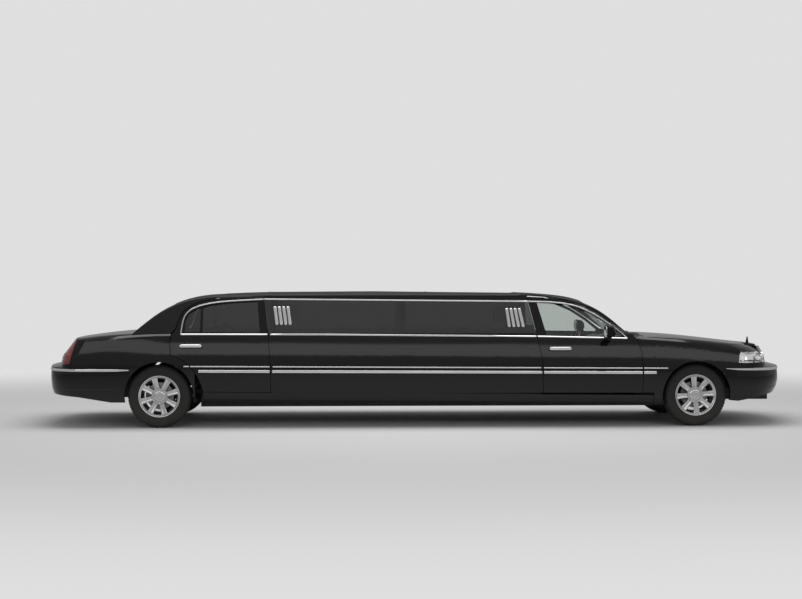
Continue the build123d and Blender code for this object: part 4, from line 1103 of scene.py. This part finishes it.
# Steering wheel: half the rim's thickness, depth and number of its grips, and its hub and spokes
rim_half = 0.0145
grip_depth = 0.0012
grips = 12
rim_inset = 0.016
hub_size = (0.13, 0.15, 0.05)
hub_rise = 0.012
spoke_angles = (-100, 100, -55, 55)
spoke_root = 0.045
spoke_dip = 0.010


class LIMOUSINE_OT_cabin(bpy.types.Operator):
    """Make the padded seats with their seams, and the steering wheel"""
    bl_idname = "limousine.cabin"
    bl_label = "Cabin"

    def execute(self, context):
        cabin = context.scene.limousine_cabin
        low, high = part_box("front_seats")
        bench_low, bench_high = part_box("rear_seats")
        middle = (high.y + seat_inner) / 2
        for side, y in (("right", -middle), ("left", middle)):
            self.seat(cabin, f"front_seat_{side}", "front_seats", low, y, high.y - seat_inner, 2, 1)
        self.seat(cabin, "rear_bench", "rear_seats", bench_low, 0.0, bench_high.y - bench_low.y, 6, 3)
        self.wheel()
        return {"FINISHED"}

    def seat(self, cabin, name, node, low, y, wide, channels, rests):
        """Cushion, back and head rests in the room of one of the frame's seats, each with its seam."""
        base = low.x + seat_base
        cushion = (cushion_length, wide, cabin.cushion_thickness)
        back = (back_height, wide, cabin.back_thickness)
        pads = [
            ("cushion", cushion, y, cushion_place, channels, 0.10, 0.20),
            ("back", back, y, back_place, channels, 0.12, 0.20),
        ]
        spread = np.linspace(-0.5, 0.5, rests) * (wide - 0.3) if rests > 1 else [0.0]
        for k, across in enumerate(spread):
            pads.append((f"head_rest_{k + 1}", head_rest_size, y + across, rest_place, 0, 0.25, 0.30))
        for part, size, across, (x, z, tilt), rows, crown, square in pads:
            centre = (base + x, across, z)
            form = pad_form(size, square, crown, channels=rows, depth=cabin.channel_depth)
            piece = made_piece(f"{name}_{part}", "root", "leather", *posed(form, centre, tilt), soft_edge)
            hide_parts(node)
            cord = piping(size, square, cabin.cord_radius)
            made_piece(f"{name}_{part}_seam", "root", "leather", *posed(cord, centre, tilt), soft_edge)

    def wheel(self):
        """Round rim with finger grips, padded hub and four spokes, where the frame has its steering wheel.

        The rim's own section has a radius of rim_half + grip_depth cos(grips r) at turn r.
        """
        joint = next(joint for joint in frame["joints"] if joint["name"] == "steering_wheel")
        centre = np.array(joint["pos_m"])
        axis = unit(np.array(joint["axis"]))
        side = np.array(inboard)
        up = np.cross(side, axis)
        up = up if up[2] > 0 else -up
        low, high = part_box("steering_wheel")
        reach = (high.y - low.y) / 2 - rim_inset
        turn = full_turn(96)[:, None, None]
        ring = full_turn(16)[None, :, None]
        radial = np.cos(turn) * up + np.sin(turn) * side
        thick = rim_half + grip_depth * np.cos(grips * ring)
        vertices = centre + radial * (reach + thick * np.cos(ring)) + axis * thick * np.sin(ring)
        faces = grid_faces(*vertices.shape[:2], True, True)
        rim = made_piece("steering_rim", "steering_wheel", "leather", vertices, faces, 80.0)
        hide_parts("steering_wheel")
        hub, faces = pad_form(hub_size, square=0.5, crown=0.3, rows=24, columns=48)
        hub = centre + hub_rise * axis + hub[:, :1] * up + hub[:, 1:2] * side + hub[:, 2:] * axis
        made_piece("steering_hub", "steering_wheel", "dash_plastic", hub, faces, soft_edge)
        section = round_section(width=0.028, height=0.012, square=0.7)
        forms = []
        for angle in np.radians(spoke_angles):
            away = math.cos(angle) * up + math.sin(angle) * side
            run = np.linspace(spoke_root, reach, 9)[:, None]
            path = centre + away * run - axis * spoke_dip * np.sin(run / reach * math.pi)
            forms.append(carried(path, axis, section))
        made_piece("steering_spokes", "steering_wheel", "dash_plastic", *joined(forms))


# Headlamps: middle of the lines that look for the lens, its end on the car's side and how that end runs
# forward with height, and how far the lens's top leans back at the nose
lamp_centre = np.array([from_front(620), -0.46])
lamp_side = (from_front(482.5), -0.935)
lamp_side_slope = 0.0145
lamp_lean = 0.055
lamp_rows = 17
lamp_columns = 73
lens_thickness = 0.0028
bucket_gap = 0.0045
bucket_depth = 0.052
flute_depth = 0.0012
band_part = (slice(2, 5), slice(4, 50))  # rows and columns of the lens that the dark band lies behind
band_gap = 0.014
reflector_depth = 0.036
bulb_size = (0.019, 0.019, 0.019)
bulb_back = 0.016
tail_rib_count = 6
reversing_rib = 2


def lamp_skin():
    """Grid on the right headlamp's outer face: heights by rows, from the side's end round to the grille.

    The face leans back by the lean times s^2 h^1.3, with s the share of the way to the nose and h the share
    of the height.
    """
    low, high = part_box("headlamp_right")
    height = np.linspace(low.z + 0.0085, high.z - 0.0015, lamp_rows)
    rise = (height - low.z) / (high.z - low.z)
    side_end = np.stack([lamp_side[0] + lamp_side_slope * rise, np.full(lamp_rows, lamp_side[1])], axis=1)
    side_end = side_end - lamp_centre
    nose_end = np.array([high.x - 0.004, high.y - 0.0035]) - lamp_centre
    start = np.arctan2(side_end[:, 1], side_end[:, 0])[:, None]
    end = math.atan2(nose_end[1], nose_end[0])
    toward_nose = np.linspace(0, 1, lamp_columns)
    angle = start + (end - start) * toward_nose
    away = np.stack([np.cos(angle), np.sin(angle), np.zeros_like(angle)], axis=-1)
    centre = np.stack(np.broadcast_arrays(*lamp_centre, height[:, None], angle)[:3], axis=-1)
    starts = centre + 1.2 * away
    places, _ = seated(("headlamp_right",), starts.reshape(-1, 3), -away.reshape(-1, 3), 0)
    places = places.reshape(starts.shape)
    places[..., 0] -= lamp_lean * toward_nose ** 2 * rise[:, None] ** 1.3
    return places, -away


def dish_form(centre, axis, radius, depth):
    """Thin bowl round an axis: depth times (1 - (r / radius)^2) behind its rim."""
    side = unit(np.cross(axis, upward))
    up = np.cross(side, axis)
    outward = np.linspace(0, 1, 15)
    share = np.concatenate([outward, [1.07, 1.07], outward[::-1]])
    back = np.concatenate([1 - outward ** 2, [0.0, 0.1], 1 - outward[::-1] ** 2])
    behind = np.concatenate([np.zeros(16), np.ones(16)]) * 0.002
    turn = full_turn(48)[:, None, None]
    radial = np.cos(turn) * up + np.sin(turn) * side
    vertices = centre + radial * (share * radius)[:, None] - axis * (back * depth + behind)[:, None]
    return vertices.reshape(-1, 3), grid_faces(*vertices.shape[:2], True, True)


class LIMOUSINE_OT_lamps(bpy.types.Operator):
    """Make the headlamps' lenses, reflectors and bulbs, the tail lamps' ribs and the dark grille backing"""
    bl_idname = "limousine.lamps"
    bl_label = "Lamps and grille"

    def execute(self, context):
        self.lenses()
        self.reflectors()
        self.tail_ribs()
        self.grille_backing()
        return {"FINISHED"}

    def lenses(self):
        """Lens, the fluted bright bucket behind it, and a dark band near its foot.

        The bucket lies 4.5 + 52 sqrt(e) mm behind the lens. Here e runs from 0 at the lens's edge to 1.
        """
        skin, inward = lamp_skin()
        lens = shell(skin, skin + lens_thickness * inward)
        both_sides("headlamp_lens", "root", "lamp_glass", *lens, replaces="headlamp_right")
        row, column = np.arange(lamp_rows)[:, None], np.arange(lamp_columns)[None]
        edge = np.minimum(np.minimum(row, row[::-1]) / 3, np.minimum(column, column[:, ::-1]) / 5)
        bowl = np.sqrt(np.clip(edge, 0, 1))
        flutes = flute_depth * np.cos(column * math.pi) * (bowl > 0.99)
        bucket = skin + (bucket_gap + bucket_depth * bowl + flutes)[..., None] * inward
        both_sides("headlamp_bucket", "root", "chrome", *shell(bucket, bucket + 0.002 * inward), sharp=25.0)
        inward = inward[band_part]
        band = skin[band_part] + band_gap * inward
        both_sides("headlamp_band", "root", "black_trim", *shell(band, band + 0.004 * inward))

    def reflectors(self):
        """Three bowls with a bulb in each: name, place along and across, the way it faces, radius."""
        low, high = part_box("headlamp_right")
        middle = (low.z + high.z) / 2 + 0.004
        for name, x, y, axis, radius in (
                ("main", high.x - 0.072, -0.545, (1.0, -0.12, 0.12), 0.047),
                ("full", high.x - 0.090, -0.665, (1.0, -0.25, 0.12), 0.047),
                ("side", from_front(735), -0.812, (0.55, -1.0, 0.0), 0.042)):
            centre = np.array([x, y, middle])
            axis = unit(np.array(axis))
            dish = dish_form(centre, axis, radius, reflector_depth)
            both_sides(f"headlamp_{name}_reflector", "root", "chrome", *dish)
            bulb, faces = pad_form(bulb_size, square=1.0, crown=0.0, rows=17, columns=32)
            bulb = bulb + centre - bulb_back * axis
            both_sides(f"headlamp_{name}_bulb", "root", "lamp_glass", bulb, faces)

    def tail_ribs(self):
        """Low horizontal ribs on each tail lamp, the third of them the pale band of the reversing lamp."""
        low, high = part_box("tail_lamp_right")
        turn = np.radians(np.linspace(188, 260, 73))
        away = np.stack([np.cos(turn), np.sin(turn), 0 * turn], axis=1)
        lamp = skin_of(("tail_lamp_right",))
        rib = ("tail_red", bar_section(width=0.006, height=0.002))
        band = ("lamp_glass", bar_section(width=0.020, height=0.003))
        for k, z in enumerate(np.linspace(low.z + 0.035, high.z - 0.05, tail_rib_count)):
            starts = np.array([low.x + 0.42, low.y + 0.36, z]) + 0.9 * away
            met = [lamp.ray_cast(Vector(s), Vector(-t), 0.85)[0] is not None for s, t in zip(starts, away)]
            run = np.flatnonzero(met)[2:-2]
            places, out = seated(("tail_lamp_right",), starts[run], -away[run], 1)
            finish, section = band if k == reversing_rib else rib
            both_sides(f"tail_lamp_rib_{k + 1}", "root", finish, *carried(
                places, out, section, bar_ends(places, reach=0.012)))

    def grille_backing(self):
        """Dark sheet a little behind the bars: the grille's plan curve plus each row's lean."""
        low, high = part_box("grille")
        inset, behind, thickness = 0.012, 0.0335, 0.003
        across = np.linspace(low.y + inset, high.y - inset, 41)
        height = np.linspace(low.z + inset, high.z - inset, 9)
        face = np.array([
            seated(("grille",), [(ahead, y, z) for y in across], backward, 0)[0] for z in height])
        curve, lean = face[..., 0].max(axis=0), face[..., 0].max(axis=1)
        face[..., 0] = curve + lean[:, None] - curve.max() - behind
        made_piece("grille_backing", "root", "black_trim", *shell(face, face - (thickness, 0, 0)))


# Padding of the roof: its ends, half width, and the height of its middle along the car
pad_start = from_rear(540)
pad_end = from_rear(1262)
pad_half_width = 0.700
crown_line = [(540, 1.480), (620, 1.488), (686, 1.4935), (900, 1.5030), (1100, 1.5095)]
rear_blend = 0.16
front_blend = 0.05
pad_foot = 1.4425
pad_foot_width = 0.7075

# Its skirt down to the doors' frames: distance across and height
skirt_rows = [(0.7155, 1.4425), (0.7100, 1.4545), (0.7050, 1.4630)]
pad_thickness = 0.004
pad_inner_share = 0.985  # width of the padding's inner face to that of its outer one

# Seams: the two long ones' distance from the middle and ends, the cross seams, and their edge's height
seam_offset = 0.44
seam_ends = (from_rear(120), from_front(-1275))
cross_seams = (("rear", from_rear(1180)), ("middle", 0.1), ("front", from_front(-1950)))
seam_edge_height = 1.487
roof_centre_z = 0.62


class LIMOUSINE_OT_roof(bpy.types.Operator):
    """Lay the padding over the rear doors and the sewn seams of the padded roof"""
    bl_idname = "limousine.roof"
    bl_label = "Roof padding and seams"

    def execute(self, context):
        self.pad()
        seam = bar_section(width=0.012, height=0.0035)
        for name, y in (("right", -seam_offset), ("left", seam_offset)):
            line = even_path([(x, y, above) for x in seam_ends], 120)
            places, out = seated(("roof", "roof_pad"), line, downward)
            made_piece(f"roof_seam_{name}", "root", "vinyl", *carried(
                places, out, seam, bar_ends(places, reach=0.02)), soft_edge)
        turn = np.linspace(-1.0, 1.0, 81)
        away = np.stack([0 * turn, np.sin(turn), np.cos(turn)], axis=1)
        for name, x in cross_seams:
            starts = np.array([x, 0, roof_centre_z]) + above * away
            places, out = seated(("roof", "roof_pad"), starts, -away, 1)
            inside = places[:, 2] > seam_edge_height
            places, out = places[inside], out[inside]
            made_piece(f"roof_cross_seam_{name}", "root", "vinyl", *carried(
                places, out, seam, bar_ends(places, reach=0.02)), soft_edge)
        return {"FINISHED"}

    def pad(self):
        """Padding that carries the raised roof's section back over the rear doors.

        The height is that of the roof's section at its raised part, lowered along the car by the crown's
        fall. At both ends it blends into the roof's own height by 3 s^2 - 2 s^3. A skirt closes the sides.
        """
        along = np.linspace(pad_start, pad_end, 49)
        across = np.linspace(-pad_half_width, pad_half_width, 57)
        raised, _ = seated(("roof",), [(pad_end, y, above) for y in across], downward, 0)
        raised = raised[:, 2]
        crown = np.interp(along, [*[from_rear(x) for x, _ in crown_line], pad_end],
                          [*[z for _, z in crown_line], raised.max()])
        own = np.array([
            seated(("roof",), [(x, y, above) for y in across], downward, 0)[0][:, 2] for x in along])
        target = raised - (raised.max() - crown)[:, None]
        share = np.clip((along - pad_start) / rear_blend, 0, 1)
        share = share * np.clip((pad_end - along) / front_blend, 0, 1)
        share = share * share * (3 - 2 * share)
        blend = share[:, None]
        own = np.minimum(own, target + 0.004)
        height = own + blend * np.maximum(target - own, 0.001) - 0.0015 * (1 - blend)
        top = np.stack([*np.broadcast_arrays(along[:, None], across), height], axis=-1)
        skirt = []
        for out, z in skirt_rows:
            own_side = pad_foot_width - 0.4 * (z - pad_foot)
            side = own_side + share * (out - own_side)
            skirt.append(np.stack([along, -side, np.minimum(z, height[:, 0] - 0.001)], axis=1))
        right = np.stack(skirt, axis=1)
        left = (right * (1, -1, 1))[:, ::-1]
        outside = np.concatenate([right, top, left], axis=1)
        inner = outside * (1, pad_inner_share, 1)
        inner[:, len(skirt_rows):-len(skirt_rows), 2] -= pad_thickness
        surfaces["roof_pad"] = made_piece("roof_pad", "root", "vinyl", *shell(outside, inner), soft_edge)


# The photograph's camera, fitted to the wheels and the car's ends: lens and sensor in millimetres, place in
# metres, and how far it looks down and to the right in degrees
camera_lens = 64.05
camera_sensor = 36
camera_place = (-0.761, -16.917, 1.6453)
camera_down = 0.762
camera_right = 1.942
farthest_seen = 400

# Floor: it blends into the backdrop between these distances from the middle, measured with x squeezed
floor_squeeze = (0.6, 1.0, 0.0)
blend_start = 2.4
blend_end = 10.0

# Lamps: name, place, point they face, size in metres, and the setting with their power
lamp_table = [
    ("overhead", (0, 0, 6.5), (0, 0, 0), (10, 4), "overhead_power"),
    ("beside", (0, -12, 5), (0, 0, 0.8), (26, 3), "side_power"),
]


def area_light(name, place, target, size, power):
    """A rectangular soft light that faces a point."""
    data = bpy.data.lights.new(name, "AREA")
    data.shape = "RECTANGLE"
    data.size, data.size_y = size
    data.energy = power
    lamp = bpy.data.objects.new(name, data)
    bpy.context.scene.collection.objects.link(lamp)
    lamp.location = place
    lamp.rotation_euler = (Vector(target) - Vector(place)).to_track_quat("-Z", "Y").to_euler()


class LIMOUSINE_OT_stage(bpy.types.Operator):
    """Lay the pale floor, hang the soft lights and set the camera as the photograph saw the car"""
    bl_idname = "limousine.stage"
    bl_label = "Stage"

    def execute(self, context):
        stage = context.scene.limousine_stage
        scene = context.scene
        scene.view_settings.view_transform = "Standard"
        self.floor(scene, stage)
        self.room(scene, stage)
        for name, place, target, size, power in lamp_table:
            area_light(name, place, target, size, getattr(stage, power))
        data = bpy.data.cameras.new("camera")
        data.sensor_width = camera_sensor
        data.lens = camera_lens
        data.clip_end = farthest_seen
        camera = bpy.data.objects.new("camera", data)
        scene.collection.objects.link(camera)
        camera.location = camera_place
        camera.rotation_euler = (math.radians(90 - camera_down), 0, math.radians(-camera_right))
        scene.camera = camera
        return {"FINISHED"}

    def floor(self, scene, stage):
        """Square floor at height 0."""
        half = stage.floor_size / 2
        mesh = bpy.data.meshes.new("floor")
        corners = [(-half, -half, 0), (half, -half, 0), (half, half, 0), (-half, half, 0)]
        mesh.from_pydata(corners, [], [(0, 1, 2, 3)])
        floor = bpy.data.objects.new("floor", mesh)
        scene.collection.objects.link(floor)
        mesh.materials.append(self.pale_floor(stage))

    def room(self, scene, stage):
        """Even light from all round, and a paler backdrop for the camera and through glass."""
        world = bpy.data.worlds.new("soft_room")
        scene.world = world
        world.use_nodes = True
        tree = world.node_tree
        light = tree.nodes["Background"]
        light.inputs["Color"].default_value = (1, 1, 1, 1)
        light.inputs["Strength"].default_value = stage.ambient
        seen = added(tree, "Background", {"Color": (*[stage.backdrop_shade] * 3, 1)})
        path = added(tree, "LightPath")
        through = added(tree, "Math", operation="MAXIMUM")
        mix = added(tree, "MixShader")
        wired(
            tree,
            (path.outputs["Is Camera Ray"], through.inputs[0]),
            (path.outputs["Is Transmission Ray"], through.inputs[1]),
            (through.outputs[0], mix.inputs[0]),
            (light.outputs[0], mix.inputs[1]),
            (seen.outputs[0], mix.inputs[2]),
            (mix.outputs[0], tree.nodes["World Output"].inputs["Surface"]),
        )

    def pale_floor(self, stage):
        """Matt floor near the car, and the backdrop's own shade far from it so that no horizon shows."""
        material, tree, shader = new_material("pale_floor", {
            "Base Color": (*[stage.floor_shade] * 3, 1),
            "Roughness": 0.9,
            "Specular IOR Level": 0.1,
        })
        place = added(tree, "TexCoord")
        flat = added(tree, "VectorMath", {1: floor_squeeze}, operation="MULTIPLY")
        distance = added(tree, "VectorMath", operation="LENGTH")
        far = added(tree, "MapRange", {"From Min": blend_start, "From Max": blend_end},
                    interpolation_type="SMOOTHSTEP")
        path = added(tree, "LightPath")
        seen = added(tree, "Math", operation="ADD", use_clamp=True)
        share = added(tree, "Math", operation="MULTIPLY")
        glow = added(tree, "Emission", {"Color": (*[stage.backdrop_shade] * 3, 1)})
        mix = added(tree, "MixShader")
        wired(
            tree,
            (place.outputs["Object"], flat.inputs[0]),
            (flat.outputs[0], distance.inputs[0]),
            (distance.outputs["Value"], far.inputs["Value"]),
            (path.outputs["Is Camera Ray"], seen.inputs[0]),
            (path.outputs["Is Transmission Ray"], seen.inputs[1]),
            (far.outputs["Result"], share.inputs[0]),
            (seen.outputs[0], share.inputs[1]),
            (share.outputs[0], mix.inputs[0]),
            (shader.outputs[0], mix.inputs[1]),
            (glow.outputs[0], mix.inputs[2]),
            (mix.outputs[0], tree.nodes["Material Output"].inputs["Surface"]),
        )
        return material


setting_groups = {
    "limousine_colours": LimousineColours,
    "limousine_trim": LimousineTrim,
    "limousine_wheels": LimousineWheels,
    "limousine_cabin": LimousineCabin,
    "limousine_stage": LimousineStage,
}


class LIMOUSINE_PT_panel(bpy.types.Panel):
    """The limousine's settings and pieces"""
    bl_label = "Limousine"
    bl_idname = "LIMOUSINE_PT_panel"
    bl_space_type = "VIEW_3D"
    bl_region_type = "UI"
    bl_category = "Limousine"

    def draw(self, context):
        for name, group in setting_groups.items():
            for setting in group.__annotations__:
                self.layout.prop(getattr(context.scene, name), setting)
        for operator in operators:
            self.layout.operator(operator.bl_idname)


operators = [
    LIMOUSINE_OT_finishes,
    LIMOUSINE_OT_trim,
    LIMOUSINE_OT_wheels,
    LIMOUSINE_OT_lamps,
    LIMOUSINE_OT_cabin,
    LIMOUSINE_OT_roof,
    LIMOUSINE_OT_stage,
]
classes = [*setting_groups.values(), *operators, LIMOUSINE_PT_panel]


def register():
    for item in classes:
        bpy.utils.register_class(item)
    for name, group in setting_groups.items():
        setattr(bpy.types.Scene, name, bpy.props.PointerProperty(type=group))


def unregister():
    for name in setting_groups:
        delattr(bpy.types.Scene, name)
    for item in reversed(classes):
        bpy.utils.unregister_class(item)


def main():
    register()
    for operator in operators:
        group, action = operator.bl_idname.split(".")
        getattr(getattr(bpy.ops, group), action)()


if __name__ == "__main__":
    main()
